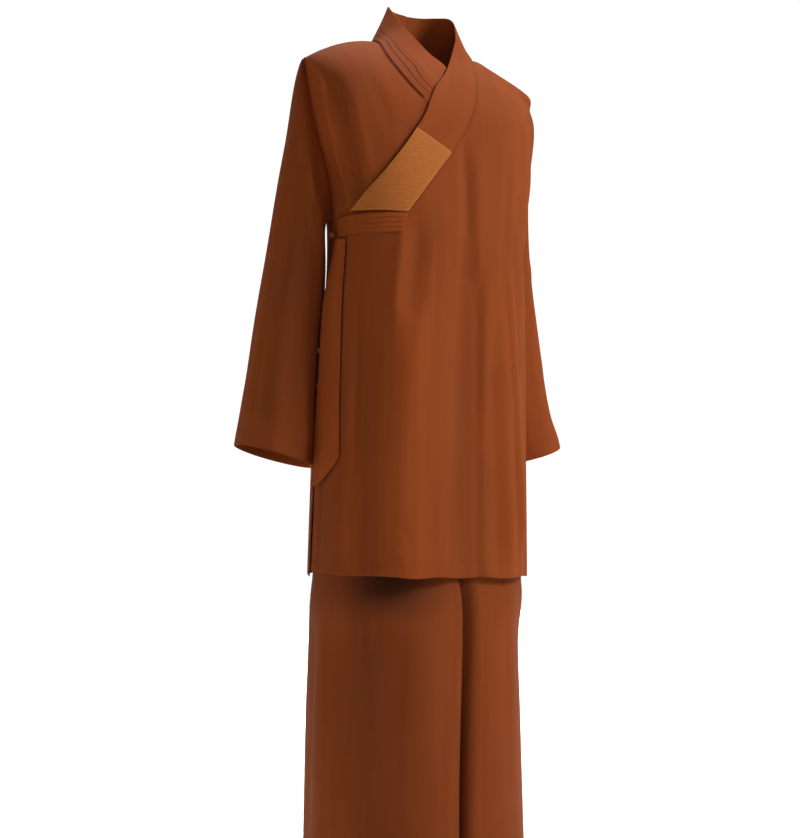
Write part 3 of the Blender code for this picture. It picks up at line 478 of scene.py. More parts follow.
coat = {
    "wall": 0.0014,
    "neckHalf": 0.097,
    "shoulderHalf": 0.222,
    "shoulderDrop": 0.045,
    "shoulderFade": 0.20,
    "leftChest": 2.35,          # how square the left chest is, against the sections' own
    "chestPlace": (0.05, 0.15, 0.12),       # drops: full from, full to, and its fade
    "shoulderCurves": (1.9, 0.95),  # how late the line falls on the right and on the left
    "lapDrop": 0.3045,
    "capPower": 1.7,
    # x and y of the collar's foot round the nape
    "napeSeam": ((0.0, 0.0629), (0.035, 0.0590), (0.066, 0.0470), (0.088, 0.0262), (0.097, 0.006)),
    "frontCap": 0.16,
    "backCap": 0.11,
    "sideSeam": 102.5,
    "armholeFront": -0.04,
    "armholeBack": -0.66,
    "slitDrop": 0.62,
    "hemLine": 0.861,
    "hemDip": (0.010, 0.19),    # how much lower the hem hangs, at this distance to the left
    "hemRipple": (0.0012, 70.0, 1.0),       # height, waves in radians to the metre, shift
    "hemRows": 8,
    "underlap": 0.0034,
    "coverBegins": 0.06,        # where the left collar first covers the under front
    "lapFade": (-93.0, 5.0),    # turn and spread of the outer front's side edge
    "closing": (0.290, 0.012),  # drop and spread of its top edge at the side
    "lapTurn": -87.0,
    "backDip": (0.0185, 2.4, 0.10),         # depth, roundness and reach of the back's neckline
    "slitOpen": 0.0035,
    "slitReach": (0.012, 0.20),
    "seamTone": 0.22,           # how much darker a seam is
    # painted shade in crease hollows and painted light on crease ridges
    "creaseShading": 0.10,
    "collarShade": (0.42, 2.2),             # shade beside the left collar, and its spread in turn
    "collarShadeDrops": (0.06, 0.30),
    "shoulderLight": (0.32, -60.0, 10.0, 0.26, 0.10),   # share, turn, spread, drop, spread
    "perDegree": 0.0033,        # metres across for each degree of turn
    "sections": (
        # drop, halfWidth, front, back, middle, square
        (0.000, 0.222, 0.118, 0.106, 0.000, 4.5),
        (0.150, 0.204, 0.120, 0.112, -0.012, 3.4),
        (0.300, 0.172, 0.118, 0.112, -0.020, 2.8),
        (0.450, 0.177, 0.119, 0.114, -0.011, 2.6),
        (0.620, 0.185, 0.121, 0.117, 0.001, 2.5),
        (0.884, 0.193, 0.123, 0.120, 0.009, 2.5),
    ),
    "folds": (
        # topTurn, lowTurn, top, low, height, width in degrees
        (-65.0, -70.0, 0.050, 0.252, 0.0042, 5.5),
        (-57.0, -62.5, 0.050, 0.300, -0.0060, 7.0),
        (-27.4, -29.0, 0.290, 0.480, -0.0040, 6.0),
        (-37.5, -41.0, 0.315, 0.470, 0.0025, 4.5),
        (-0.5, 1.5, 0.150, 0.420, -0.0035, 6.0),
        (24.0, 24.5, 0.330, 0.900, -0.0060, 7.0),
        (39.0, 43.0, 0.300, 0.860, 0.0050, 7.0),
        (62.0, 60.0, 0.080, 0.400, -0.0045, 8.0),
        (-59.0, -54.0, 0.340, 0.900, -0.0035, 7.0),
        (-14.0, -12.0, 0.480, 0.900, 0.0030, 8.0),
        (112.0, 110.0, 0.330, 0.700, -0.0050, 11.0),
        (-112.0, -110.0, 0.330, 0.700, -0.0060, 11.0),
        (150.0, 147.0, 0.200, 0.900, -0.0060, 8.0),
        (170.0, 166.0, 0.300, 0.900, 0.0045, 7.0),
        (-156.0, -150.0, 0.120, 0.900, -0.0055, 8.0),
        (-132.0, -134.0, 0.350, 0.900, 0.0045, 7.0),
        (134.0, 131.0, 0.100, 0.500, 0.0040, 7.0),
    ),
    "deepCrease": 0.007,
    "creases": (
        # startTurn, startDrop, endTurn, endDrop, height, width in metres
        (9.5, 0.380, 12.5, 0.680, -0.0046, 0.010),
        (12.5, 0.580, 15.0, 1.100, -0.0060, 0.014),
        (28.5, 0.350, 38.5, 0.640, 0.0050, 0.008),
        (38.0, 0.560, 44.0, 0.900, 0.0036, 0.009),
        (42.0, 0.620, 44.0, 1.050, 0.0034, 0.012),
        (35.5, 0.560, 36.5, 1.050, -0.0032, 0.010),
        (3.0, 0.460, 4.5, 1.050, 0.0012, 0.008),
        (14.0, 0.430, 16.5, 1.050, 0.0012, 0.009),
        (-29.0, 0.330, -27.0, 1.100, 0.0116, 0.034),
        (-52.0, 0.400, -49.0, 1.100, -0.0062, 0.026),
        (1.0, 0.290, 5.0, 1.100, -0.0108, 0.027),
        (22.0, 0.300, 40.0, 1.100, 0.0095, 0.021),
        (-51.0, 0.080, -53.0, 0.280, 0.0040, 0.018),
        (-59.5, 0.345, -55.0, 0.760, -0.0030, 0.008),
        (52.0, 0.380, 56.0, 1.050, 0.0042, 0.014),
        (62.0, 0.330, 65.0, 1.050, -0.0042, 0.014),
        (-36.0, 0.290, -38.5, 0.520, 0.0022, 0.008),
        (-27.6, 0.290, -30.6, 0.560, -0.0018, 0.010),
        (-20.5, 0.320, -20.0, 0.470, 0.0016, 0.009),
        (34.0, 0.250, 38.0, 0.305, -0.0018, 0.005),
        (42.0, 0.315, 46.0, 0.390, -0.0016, 0.005),
        (47.0, 0.265, 56.0, 0.340, 0.0016, 0.007),
        (-0.5, 0.160, 2.5, 0.360, -0.0026, 0.009),
        (7.0, 0.180, 9.0, 0.420, 0.0020, 0.011),
        (16.0, 0.140, 16.5, 0.380, -0.0016, 0.012),
        (26.0, 0.180, 27.0, 0.380, -0.0020, 0.010),
        (40.0, 0.090, 44.0, 0.300, 0.0022, 0.014),
        (52.0, 0.110, 55.0, 0.330, -0.0024, 0.012),
        (-33.0, 0.795, -25.0, 0.835, -0.0012, 0.006),
        (-36.0, 0.838, -27.0, 0.848, 0.0012, 0.008),
        (12.0, 0.852, 20.0, 0.862, 0.0010, 0.007),
        (-64.0, 0.040, -71.6, 0.200, 0.0060, 0.0075),
        (-71.3, 0.165, -71.5, 0.330, 0.0060, 0.0075),
        (-57.0, 0.050, -63.5, 0.330, -0.0044, 0.012),
        (-48.0, 0.070, -53.0, 0.290, 0.0022, 0.013),
        (-40.0, 0.060, -36.0, 0.190, -0.0016, 0.012),
        (-70.0, 0.220, -56.0, 0.270, -0.0012, 0.006),
        (30.0, 0.030, 34.0, 0.130, -0.0010, 0.009),
        (58.0, 0.050, 66.0, 0.200, 0.0020, 0.009),
        (140.0, 0.080, 128.0, 0.190, -0.0020, 0.009),
        (-140.0, 0.080, -130.0, 0.200, -0.0022, 0.009),
        (120.0, 0.270, 150.0, 0.330, 0.0018, 0.009),
        (-122.0, 0.280, -150.0, 0.345, 0.0018, 0.009),
        (170.0, 0.120, 176.0, 0.300, 0.0016, 0.011),
        (-168.0, 0.280, -172.0, 0.620, 0.0026, 0.013),
        (158.0, 0.400, 152.0, 1.000, 0.0030, 0.014),
        (178.0, 0.380, 180.0, 1.050, -0.0030, 0.016),
        (-142.0, 0.460, -146.0, 1.050, -0.0032, 0.014),
        (-158.0, 0.520, -162.0, 1.050, 0.0030, 0.013),
        (116.0, 0.460, 122.0, 1.050, 0.0030, 0.013),
        (-118.0, 0.520, -124.0, 1.050, 0.0028, 0.012),
        (136.0, 0.480, 138.0, 1.050, -0.0026, 0.012),
        (78.0, 0.340, 84.0, 0.560, 0.0022, 0.010),
        (88.0, 0.480, 82.0, 1.000, -0.0026, 0.012),
        (73.0, 0.520, 70.0, 1.050, 0.0024, 0.012),
    ),
    "leftSeam": (
        # drop, turn: outer seam of the left collar
        (0.000, 23.7), (0.026, 17.6), (0.071, 13.2), (0.101, 9.7), (0.136, 5.0),
        (0.162, 0.6), (0.180, -2.6), (0.203, -7.8), (0.255, -21.0), (0.3045, -33.6),
    ),
    "leftEdge": (
        # drop, turn: free edge of the left collar on the chest
        (0.068, -4.1), (0.105, -13.4), (0.150, -20.5), (0.1715, -25.0),
        (0.214, -34.6), (0.259, -48.6), (0.2995, -69.3),
    ),
    "rightSeam": (
        # drop, turn
        (0.000, -23.7), (0.026, -26.6), (0.055, -27.4), (0.097, -23.3), (0.126, -17.4),
        (0.160, -9.0), (0.200, 0.5), (0.260, 15.5), (0.3045, 22.0), (0.338, 27.0),
        (0.400, 28.3), (0.884, 28.3),
    ),
}


def cap(drop, height):
    share = np.clip(drop / height, 0, 1)
    return (1 - (1 - share) ** coat["capPower"]) ** (1 / coat["capPower"])


def body(turn, drop, folds=True):
    # outside of the coat
    turn, drop = np.broadcast_arrays(np.asarray(turn, float), np.asarray(drop, float))
    half, front, back, middle, square = along(coat["sections"], drop)
    angle = np.radians(turn)
    s, c = np.sin(angle), np.cos(angle)
    full, last, fade = coat["chestPlace"]
    share = ease(drop / full) * (1 - ease((drop - last) / fade))
    square = np.where((s > 0) & (c > 0), mix(square, coat["leftChest"], share), square)
    rho = (np.abs(s) ** square + np.abs(c) ** square) ** (-1 / square)
    s, c = s * rho, c * rho
    rise = np.where(c > 0, cap(drop, coat["frontCap"]), cap(drop, coat["backCap"]))
    deep = np.where(c > 0, front, back)
    x, y = half * s, middle - deep * rise * c
    run = coat["shoulderHalf"] - coat["neckHalf"]
    slope = np.clip((np.abs(x) - coat["neckHalf"]) / run, 0, 1)
    slope = slope ** np.where(x < 0, *coat["shoulderCurves"])
    z = -drop - coat["shoulderDrop"] * slope * np.maximum(0, 1 - drop / coat["shoulderFade"])
    if folds:
        awayX = np.copysign(np.abs(s) ** (square - 1) / half, s)
        awayY = -np.copysign(np.abs(c) ** (square - 1) / deep, c)
        size = foldHeight(coat["folds"], turn, drop)
        size = size + creaseHeight(coat["creases"], turn, drop, coat["perDegree"])
        size = size / np.hypot(awayX, awayY)
        x, y = x + awayX * size, y + awayY * size
    return np.stack([x, y, z], -1)


def turnOf(reach, square):
    side = (1 - np.abs(reach) ** square) ** (1 / square)
    return np.degrees(np.arctan2(side, reach))


sideReach = math.cos(math.radians(coat["sideSeam"]))


def frontSide(drop):
    # turn of the armhole's front edge, then of the side seam
    square = along(coat["sections"], drop)[4]
    share = np.minimum(drop / coat["lapDrop"], 1.0) ** 4
    return turnOf(mix(coat["armholeFront"], sideReach, share), square)


def backSide(drop):
    square = along(coat["sections"], drop)[4]
    low = np.clip((drop - coat["lapDrop"] / 2) / (coat["lapDrop"] / 2), -1, 1)
    end = np.where(low < 0, coat["armholeFront"], sideReach)
    reach = np.where(drop >= coat["lapDrop"], sideReach,
                     mix(end, coat["armholeBack"], np.sqrt(1 - low * low)))
    return turnOf(reach, square)


def seamShift(drop):
    return np.degrees(0.0004 / along(coat["sections"], drop)[0])


def underLift(turn, drop):
    # how far the under front sinks where the outer front and its collar cover it
    seam = along(coat["leftSeam"], drop)[0]
    edge = along(coat["leftEdge"], drop)[0]
    lapEdge, lapSpread = coat["lapFade"]
    closes, closingSpread = coat["closing"]
    covered = np.clip((turn - edge) / (seam - edge), 0, 1)
    chest = np.where(drop > coat["coverBegins"], covered, 0)
    lap = np.clip((turn - lapEdge) / lapSpread, 0, 1)
    share = np.clip((drop - closes) / closingSpread, 0, 1)
    return -coat["underlap"] * mix(chest, lap, share)


def hemWave(points):
    # the hem hangs a little lower on the wearer's left, in shallow waves
    x = points[-1, :, 0]
    depth, reach = coat["hemDip"]
    height, waves, shift = coat["hemRipple"]
    rows = coat["hemRows"]
    dip = -depth * (x / reach) - height * np.sin(x * waves + shift)
    fade = ease((np.arange(len(points)) - len(points) + rows + 1) / rows)[:, None]
    points[..., 2] += dip * fade


chestDrops = np.concatenate([[0, 0.0015, 0.003, 0.006], np.linspace(0.010, 0.300, 74),
                             [0.3025, coat["lapDrop"]]])
skirtDrops = np.concatenate([[0.3065, 0.309], np.linspace(0.313, 0.878, 142), [0.8815, 0.884]])
allDrops = np.concatenate([chestDrops, skirtDrops])
lapRow = len(chestDrops) - 1


def reachNape(points, drop):
    # the back's top edge runs out and up to the foot of the collar
    x = np.abs(points[:1, :, 0])
    foot = np.interp(x, *np.array(coat["napeSeam"]).T)
    fade = ease((coat["neckHalf"] - 0.001 - x) / 0.012) * ease(1 - (drop - drop[:1]) / 0.055)
    points[..., 1] += np.maximum(foot - points[:1, :, 1], 0) * fade
    points[..., 2] += 0.0016 * fade


def coatWall(name, turn, drop, lift, material, keep=None, mark=0.0, hem=0.0, shade=1.0):
    points = body(turn, drop)
    if hem is None:
        reachNape(points, drop)
    way = directions(points)
    rolled = -0.0009 * mark
    outer = points + way * (lift + rolled)[..., None]
    inner = outer - way * coat["wall"]
    if hem is not None:
        hemWave(outer)
        hemWave(inner)
    metres = np.stack([turn * coat["perDegree"], np.broadcast_to(drop, turn.shape)], -1)
    # seams darker; painted shade in crease hollows and painted light on their ridges, times any
    # painted shade or light passed in
    creased = creaseHeight(coat["creases"], turn, drop, coat["perDegree"]) / coat["deepCrease"]
    marksAndShading = 1 - coat["seamTone"] * np.clip(mark, 0, 1)
    marksAndShading = marksAndShading * (1 + coat["creaseShading"] * np.clip(creased, -1, 1)) * shade
    return buildWall(name, outer, inner, metres, material, keep=keep, marksAndShading=marksAndShading)


def edgeMark(gap, width=0.0020):
    # 1 at a seam, fading over width metres
    return np.exp(-(gap / width) ** 2)


def makeFrontLeft():
    drop = allDrops[:, None]
    seam = along(coat["leftSeam"], drop)[0]
    side = frontSide(drop) - seamShift(drop)
    chest = seam + (side - seam) * spread(92, (0.003, 0.007), (0.003, 0.007))[None, :]
    lapEnd = along(coat["leftSeam"], coat["lapDrop"])[0]
    lapShares = spread(44, (0.006, 0.014))[:-1]
    lap = np.broadcast_to(coat["lapTurn"] + (lapEnd - coat["lapTurn"]) * lapShares,
                          (len(allDrops), len(lapShares)))
    turn = np.concatenate([lap, chest], 1)
    drop = np.broadcast_to(drop, turn.shape)
    keep = np.ones((turn.shape[0] - 1, turn.shape[1] - 1), bool)
    keep[:lapRow, :lap.shape[1]] = False
    sideGap = (side - turn) * coat["perDegree"]
    seamGap = np.where(drop <= coat["lapDrop"], (turn - seam) * coat["perDegree"], 1.0)
    mark = np.maximum(edgeMark(sideGap), 0.8 * edgeMark(np.abs(seamGap)))
    mark = np.maximum(mark, 0.8 * edgeMark(drop) * (turn > seam))
    return coatWall("coatFrontLeft", turn, drop, np.zeros(turn.shape),
                    clothMaterials["front"], keep, mark)


def makeFrontRight():
    drop = allDrops[:, None]
    side = -frontSide(drop) + seamShift(drop)
    seam = along(coat["rightSeam"], drop)[0]
    turn = side + (seam - side) * spread(96, (0.003, 0.007), (0.003, 0.007))[None, :]
    drop = np.broadcast_to(drop, turn.shape)
    mark = edgeMark((turn - side) * coat["perDegree"])
    mark = np.maximum(mark, edgeMark((seam - turn) * coat["perDegree"]) * (drop < 0.12))
    mark = np.maximum(mark, 0.8 * edgeMark(drop))
    edge = along(coat["leftEdge"], drop)[0]
    dark, darkSpread = coat["collarShade"]
    first, last = coat["collarShadeDrops"]
    beside = np.exp(-((turn - edge) / darkSpread) ** 2) * (drop > first) * (drop < last)
    light, lightTurn, turnSpread, lightDrop, dropSpread = coat["shoulderLight"]
    lit = ease((lightTurn - turn) / turnSpread) * ease((lightDrop - drop) / dropSpread)
    shade = (1 - dark * beside) * (1 + light * lit)
    return coatWall("coatFrontRight", turn, drop, underLift(turn, drop),
                    clothMaterials["under"], None, mark, shade=shade)


def makeBack():
    drop = allDrops[:, None]
    start = backSide(drop) + seamShift(drop)
    turn = start + (360 - 2 * start) * spread(128, (0.002, 0.005), (0.002, 0.005))[None, :]
    x = np.abs(body(turn, drop, folds=False)[..., 0])
    depth, roundness, reach = coat["backDip"]
    dip = depth * np.maximum(0, 1 - (x / coat["neckHalf"]) ** roundness)
    level = drop + dip * np.maximum(0, 1 - drop / reach)
    gap = np.minimum(turn - start, 360 - start - turn) * coat["perDegree"]
    slitWidth, slitLength = coat["slitReach"]
    slit = ease(1 - gap / slitWidth) * ease((drop - coat["slitDrop"]) / slitLength)
    slit = coat["slitOpen"] * slit
    mark = np.maximum(edgeMark(gap), 0.8 * edgeMark(np.broadcast_to(drop, turn.shape)))
    return coatWall("coatBack", turn, level, slit, clothMaterials["back"], None, mark, None)


clothMaterials = {
    "front": makeCloth("coat front cloth", hemLine=coat["hemLine"]),
    "under": makeCloth("under front cloth", hemLine=coat["hemLine"]),
    "back": makeCloth("coat back cloth", bright=0.94, hemLine=coat["hemLine"]),
    "sleeve": makeCloth("sleeve cloth", hemLine=0.606),
    "collar": makeCloth("collar cloth", bright=1.03),
    "tuck": makeCloth("tuck cloth", bright=0.98),
    # the band and the tie are lighter copies of the same rust cloth: painted light on parts that
    # lie on the coat's shaded side
    "band": makeCloth("side band cloth", bright=1.22),
    "tie": makeCloth("tie cloth", bright=1.20),
    "trousers": makeCloth("trouser cloth", bright=0.93, hemLine=1.375),
}
print("cloth materials made")

frontLeft = makeFrontLeft()
settle(frontLeft, "coat_front_left")
frontRight = makeFrontRight()
settle(frontRight, "coat_front_right")
backPanel = makeBack()
settle(backPanel, "coat_back")


# the sleeves

sleeves = {
    "root": 0.26,
    "rootOut": (0.036, 0.060),  # how fast the left head and every underarm leave the armhole
    "length": 0.63,
    "around": 0.44,
    "bodySpace": 0.0038,        # least space to the coat's side
    "rootSpace": 0.0004,
    "seamSink": 0.0006,
    "seamWidth": 0.004,
    "seamTone": 0.25,
    "tuckedShade": 0.48,         # painted shade on the left sleeve where it tucks in by the coat
    "tuckedFrom": (62.0, 36.0),             # angle where that begins, and its spread
    "tuckedTo": (0.55, 0.2),    # share of the length where it ends, and its spread
    "ahead": (30.0, 150.0, 30.0),           # angles of the right sleeve's front, and their spread
    "aheadShade": (0.26, 0.25, 0.30),        # its painted shade, the share where that begins, the spread
    "aheadLight": (0.38, 0.32, 0.28),       # painted light on its head, the share where it ends, the spread
    "armpit": (0.0050, -0.320, 0.035),      # extra on the right, its height and its reach
    "sections": (
        # share, centreX, y, z, outX, outY, outZ, foreX, foreY, backDepth
        (0.00, 0.1990, 0.001, -0.174, 0.024, -0.003, 0.130, 0.000, -0.014, 0.050),
        (0.10, 0.2040, 0.008, -0.202, 0.027, -0.004, 0.117, 0.004, -0.026, 0.050),
        (0.22, 0.2055, 0.019, -0.247, 0.033, -0.006, 0.096, 0.008, -0.040, 0.050),
        (0.36, 0.2045, 0.040, -0.312, 0.044, -0.010, 0.073, 0.009, -0.054, 0.052),
        (0.52, 0.2080, 0.054, -0.400, 0.053, -0.010, 0.050, 0.010, -0.060, 0.060),
        (0.68, 0.2160, 0.064, -0.495, 0.061, -0.010, 0.035, 0.011, -0.062, 0.064),
        (0.84, 0.2270, 0.066, -0.595, 0.066, -0.008, 0.025, 0.012, -0.067, 0.068),
        (1.00, 0.2410, 0.062, -0.688, 0.070, -0.006, 0.020, 0.009, -0.074, 0.074),
    ),
    "leftMoves": (
        # share, outward, backward: how the left sleeve hangs apart from the right one's mirror
        (0.00, -0.004, 0.000), (0.10, -0.006, 0.003), (0.22, -0.010, 0.008),
        (0.36, -0.008, 0.010), (0.52, -0.003, 0.010), (0.68, 0.004, 0.008),
        (0.84, 0.005, 0.006), (1.00, 0.009, 0.004),
    ),
    "folds": (
        # topAngle, lowAngle, top, low, height, width in degrees round the sleeve
        (112.0, 116.0, 0.16, 1.00, 0.0060, 18.0),
        (36.0, 34.0, 0.22, 0.98, -0.0060, 20.0),
        (84.0, 86.0, 0.10, 0.42, 0.0018, 9.0),
        (305.0, 315.0, 0.20, 1.00, -0.0055, 15.0),
        (270.0, 280.0, 0.10, 0.90, 0.0045, 14.0),
    ),
    "creases": (
        # startAngle, startShare, endAngle, endShare, height, width in shares of the length
        (70.0, 0.20, 100.0, 0.30, 0.0012, 0.014),
        (60.0, 0.34, 96.0, 0.42, -0.0012, 0.014),
        (30.0, 0.46, 66.0, 0.52, 0.0011, 0.015),
        (104.0, 0.50, 70.0, 0.60, -0.0010, 0.015),
        (20.0, 0.62, 50.0, 0.80, 0.0009, 0.020),
        (115.0, 0.62, 108.0, 0.90, 0.0012, 0.020),
        (330.0, 0.30, 300.0, 0.42, 0.0012, 0.015),
        (290.0, 0.48, 320.0, 0.58, -0.0011, 0.016),
        (250.0, 0.40, 262.0, 0.70, 0.0010, 0.018),
        (350.0, 0.60, 340.0, 0.88, -0.0010, 0.018),
    ),
}


def armhole(angle, side):
    drop = mix(0.003, coat["lapDrop"], (1 - np.cos(np.radians(angle))) / 2)
    turn = np.where(angle <= 180, frontSide(drop), backSide(drop))
    points = body(side * turn, drop)
    ahead = body(side * turn + 1, drop) - body(side * turn - 1, drop)
    step = np.minimum(0.003, drop * 0.5)
    down = body(side * turn, drop + step) - body(side * turn, drop - step)
    way = np.cross(down, ahead)
    return points, way / np.linalg.norm(way, axis=-1, keepdims=True)


def coatHalf(y, z, side):
    # half-width of the coat at a depth and height, for the sleeves to clear
    drop = -z
    for _ in range(3):
        half, front, back, middle, square = along(coat["sections"], np.maximum(drop, 0.01))
        deep = np.where(y < middle, front * cap(drop, coat["frontCap"]),
                        back * cap(drop, coat["backCap"]))
        deep = np.maximum(deep, 0.001)
        share = np.minimum(np.abs(y - middle) / deep, 0.98)
        x = half * (1 - share ** square) ** (1 / square)
        run = coat["shoulderHalf"] - coat["neckHalf"]
        slope = np.clip((x - coat["neckHalf"]) / run, 0, 1)
        slope = slope ** coat["shoulderCurves"][int(side > 0)]
        fade = np.maximum(0.0, 1 - drop / coat["shoulderFade"])
        drop = np.maximum(-z - coat["shoulderDrop"] * slope * fade, 0.001)
    reach = np.where(share < 0.98, (middle - y) / deep, -0.98)
    return x + foldHeight(coat["folds"], turnOf(reach, square), drop)


def makeSleeve(name, side):
    shares = np.concatenate([[0, 0.004, 0.010, 0.018], np.linspace(0.028, 0.99, 128),
                             [0.9965, 1.0]])[:, None]
    angles = np.linspace(0, 360, 112, endpoint=False)[None, :]
    row = along(sleeves["sections"], shares)
    outward, backward = along(sleeves["leftMoves"], shares) * (side > 0)
    c, s = np.cos(np.radians(angles)), np.sin(np.radians(angles))
    foreX = np.where(s > 0, row[6], 0.0)
    foreY = np.where(s > 0, row[7], -row[8])
    size = foldHeight(sleeves["folds"], angles, shares)
    size = size + creaseHeight(sleeves["creases"], angles, shares, 0.0025) * ease(shares / 0.2)
    x = side * (row[0] + outward + row[3] * c + foreX * s + c * size)
    y = row[1] + backward + row[4] * c + foreY * s - s * size
    tube = np.stack([x, y, row[2] + row[5] * c + 0 * s], -1)
    hole, out = armhole(angles[0], side)
    low = (1 - c) / 2 if side > 0 else 1.0
    start = hole + out * sleeves["rootSpace"]
    root = np.broadcast_to(start, (len(shares), *hole.shape)).copy()
    root[..., 0] += side * shares * mix(*sleeves["rootOut"], low)
    points = mix(root, tube, ease(shares / sleeves["root"])[..., None])
    extra, armpitHeight, armpitSpread = sleeves["armpit"]
    space = (side < 0) * extra * np.exp(-((points[..., 2] - armpitHeight) / armpitSpread) ** 2)
    least = coatHalf(points[..., 1], points[..., 2], side) + sleeves["bodySpace"] + space
    pushed = np.maximum(np.abs(points[..., 0]), least)
    points[..., 0] = np.where(shares > 0.03, side * pushed, points[..., 0])
    way = -side * directions(points, ring=True)
    gap = shares * sleeves["length"] + 0 * angles
    mark = edgeMark(gap, sleeves["seamWidth"])
    outer = points - way * (sleeves["seamSink"] * mark)[..., None]
    inner = outer - way * coat["wall"]
    around = np.roll(points[0], -1, axis=0) - np.roll(points[0], 1, axis=0)
    flat = np.cross(around, out)
    flat /= np.linalg.norm(flat, axis=-1, keepdims=True)
    flat *= np.sign(np.sum(flat * (points[0] - points[0].mean(0)), -1, keepdims=True))
    outer[0] = points[0] + flat * coat["wall"]
    inner[0] = points[0]
    metres = np.stack([angles / 360 * sleeves["around"] + 0 * shares, gap], -1)
    # painted shade on the left sleeve's inner side above the elbow, then painted shade and painted
    # light on the right sleeve's front
    begins, spreads = sleeves["tuckedFrom"]
    ends, fades = sleeves["tuckedTo"]
    tucked = ease((angles - begins) / spreads) * (angles < 270) * ease((ends - shares) / fades)
    first, last, spreads = sleeves["ahead"]
    ahead = ease((angles - first) / spreads) * ease((last - angles) / spreads)
    marksAndShading = 1 - sleeves["seamTone"] * mark
    if side > 0:
        marksAndShading = marksAndShading * (1 - sleeves["tuckedShade"] * tucked)
    else:
        dark, begins, fades = sleeves["aheadShade"]
        marksAndShading = marksAndShading * (1 - dark * ahead * ease((shares - begins) / fades))
        light, ends, fades = sleeves["aheadLight"]
        marksAndShading = marksAndShading * (1 + light * ahead * ease((ends - shares) / fades))
    return buildWall(name, outer, inner, metres, clothMaterials["sleeve"], ring=True, marksAndShading=marksAndShading)


sleeveLeft = makeSleeve("sleeveLeft", 1)
settle(sleeveLeft, "sleeve_left")
sleeveRight = makeSleeve("sleeveRight", -1)
settle(sleeveRight, "sleeve_right")


# the collar, its tucks and its patch

collar = {
    "wall": 0.0022,
    "backNeck": (
        # seamX, seamY, seamZ, edgeX, edgeY, edgeZ, from the middle of the back forward
        (0.0002, 0.063, -0.0185, 0.0002, 0.048, 0.076),
        (0.0350, 0.059, -0.0160, 0.0270, 0.043, 0.076),
        (0.0660, 0.047, -0.0100, 0.0480, 0.028, 0.075),
        (0.0880, 0.026, -0.0030, 0.0590, 0.008, 0.069),
    ),
    "neckEdge": (
        # seamDrop, x, y, z of the free edge
        (0.000, 0.0590, -0.008, 0.053), (0.003, 0.0530, -0.022, 0.034),
        (0.010, 0.0450, -0.035, 0.017), (0.022, 0.0350, -0.046, 0.000),
        (0.040, 0.0215, -0.060, -0.022), (0.065, 0.0020, -0.080, -0.047),
    ),
    "chestEdge": (
        # seamDrop, edgeDrop, edgeTurn of the left collar
        (0.090, 0.068, -4.1), (0.120, 0.095, -11.2), (0.150, 0.121, -16.0),
        (0.180, 0.149, -20.4), (0.203, 0.1715, -25.0), (0.230, 0.206, -32.8),
        (0.258, 0.243, -43.4), (0.284, 0.274, -56.0), (0.3037, 0.2995, -69.3),
    ),
    "underEdge": (
        # seamDrop, edgeDrop, edgeTurn of the right collar
        (0.090, 0.068, -4.1), (0.120, 0.092, 2.5), (0.150, 0.119, 8.5),
        (0.180, 0.147, 14.0), (0.203, 0.166, 18.0), (0.230, 0.190, 22.5),
    ),
    "across": 26,
    "steps": 9,                 # rows between two stations
    "leftLift": (0.0012, 0.0046),           # off the coat at the seam and at the free edge
    "rightLift": (0.0008, 0.0006),          # at the neck and on the chest
    "rightChest": 10,           # the right collar's first station on the chest
    "ripple": 0.0005,
    "seamWidth": 0.0022,
    "seamSink": 0.0008,
    "seamTone": 0.13,
    "tuckEdges": (0.02, 0.19, 0.36, 0.53),
    "tuckEnds": ((0.00, 0.95), (0.20, 0.80), (0.40, 0.60), (0.60, 0.30)),
    "tuckRows": (4, 10),        # stations between which the tucks run
    "tuckLift": 0.0005,
    "tuckWall": 0.0012,
    "tuckRise": (0.70, 0.32),   # share of the wall at the low edge, and how much it gains
    # painted shade along each tuck's low edge, where it lies under its neighbour
    "tuckShade": 0.24,
}


def collarStations(side, shares):
    # lines from the seam to the free edge at each station, and how far each point sinks
    seams = coat["leftSeam"] if side > 0 else coat["rightSeam"]
    lines, sinks = [], []
    for row in collar["backNeck"]:
        seam, edge = np.array(row[:3]), np.array(row[3:])
        lines.append((seam + (edge - seam) * shares[:, None]) * np.array([side, 1, 1]))
        sinks.append(0 * shares)
    for drop, x, y, z in collar["neckEdge"]:
        turn = along(seams, drop)[0] - side * seamShift(drop)
        seam = body(turn, drop, folds=False)
        if drop == 0:
            seam[0] -= side * 0.0004
        edge = np.array([side * x, y, z])
        lines.append(seam + (edge - seam) * shares[:, None])
        sinks.append(0 * shares)
    for drop, edgeDrop, edgeTurn in collar["chestEdge"] if side > 0 else collar["underEdge"]:
        turn = along(seams, drop)[0]
        turns = mix(turn - side * seamShift(drop), edgeTurn, shares)
        drops = mix(drop, edgeDrop, shares)
        lines.append(body(turns, drops, folds=side < 0))
        covered = mix(turn, edgeTurn, shares)
        sinks.append(1.1 * underLift(covered, drops) if side < 0 else 0 * shares)
    return np.array(lines), np.array(sinks)


def collarGrid(side, shares, start=0.0, end=None):
    lines, sinks = collarStations(side, shares)
    last = len(lines) - 1
    end = last if end is None else end
    places = np.linspace(start, end, int((end - start) * collar["steps"]) + 1)
    flat = np.concatenate([lines.reshape(last + 1, -1), sinks], 1)
    table = np.concatenate([np.arange(last + 1)[:, None], flat], 1)
    values = np.moveaxis(along(table, places), 0, -1)
    count = len(shares)
    points = values[:, :3 * count].reshape(len(places), count, 3)
    sink = values[:, 3 * count:]
    return places, points, sink


def runLengths(points):
    # metres across and along a grid, for its cloth map
    across = np.linalg.norm(np.diff(points, axis=1), axis=-1)
    across = np.concatenate([np.zeros((len(points), 1)), np.cumsum(across, 1)], 1)
    down = np.linalg.norm(np.diff(points, axis=0), axis=-1).mean(1)
    down = np.concatenate([[0], np.cumsum(down)])
    return np.stack([across, np.broadcast_to(down[:, None], across.shape)], -1)


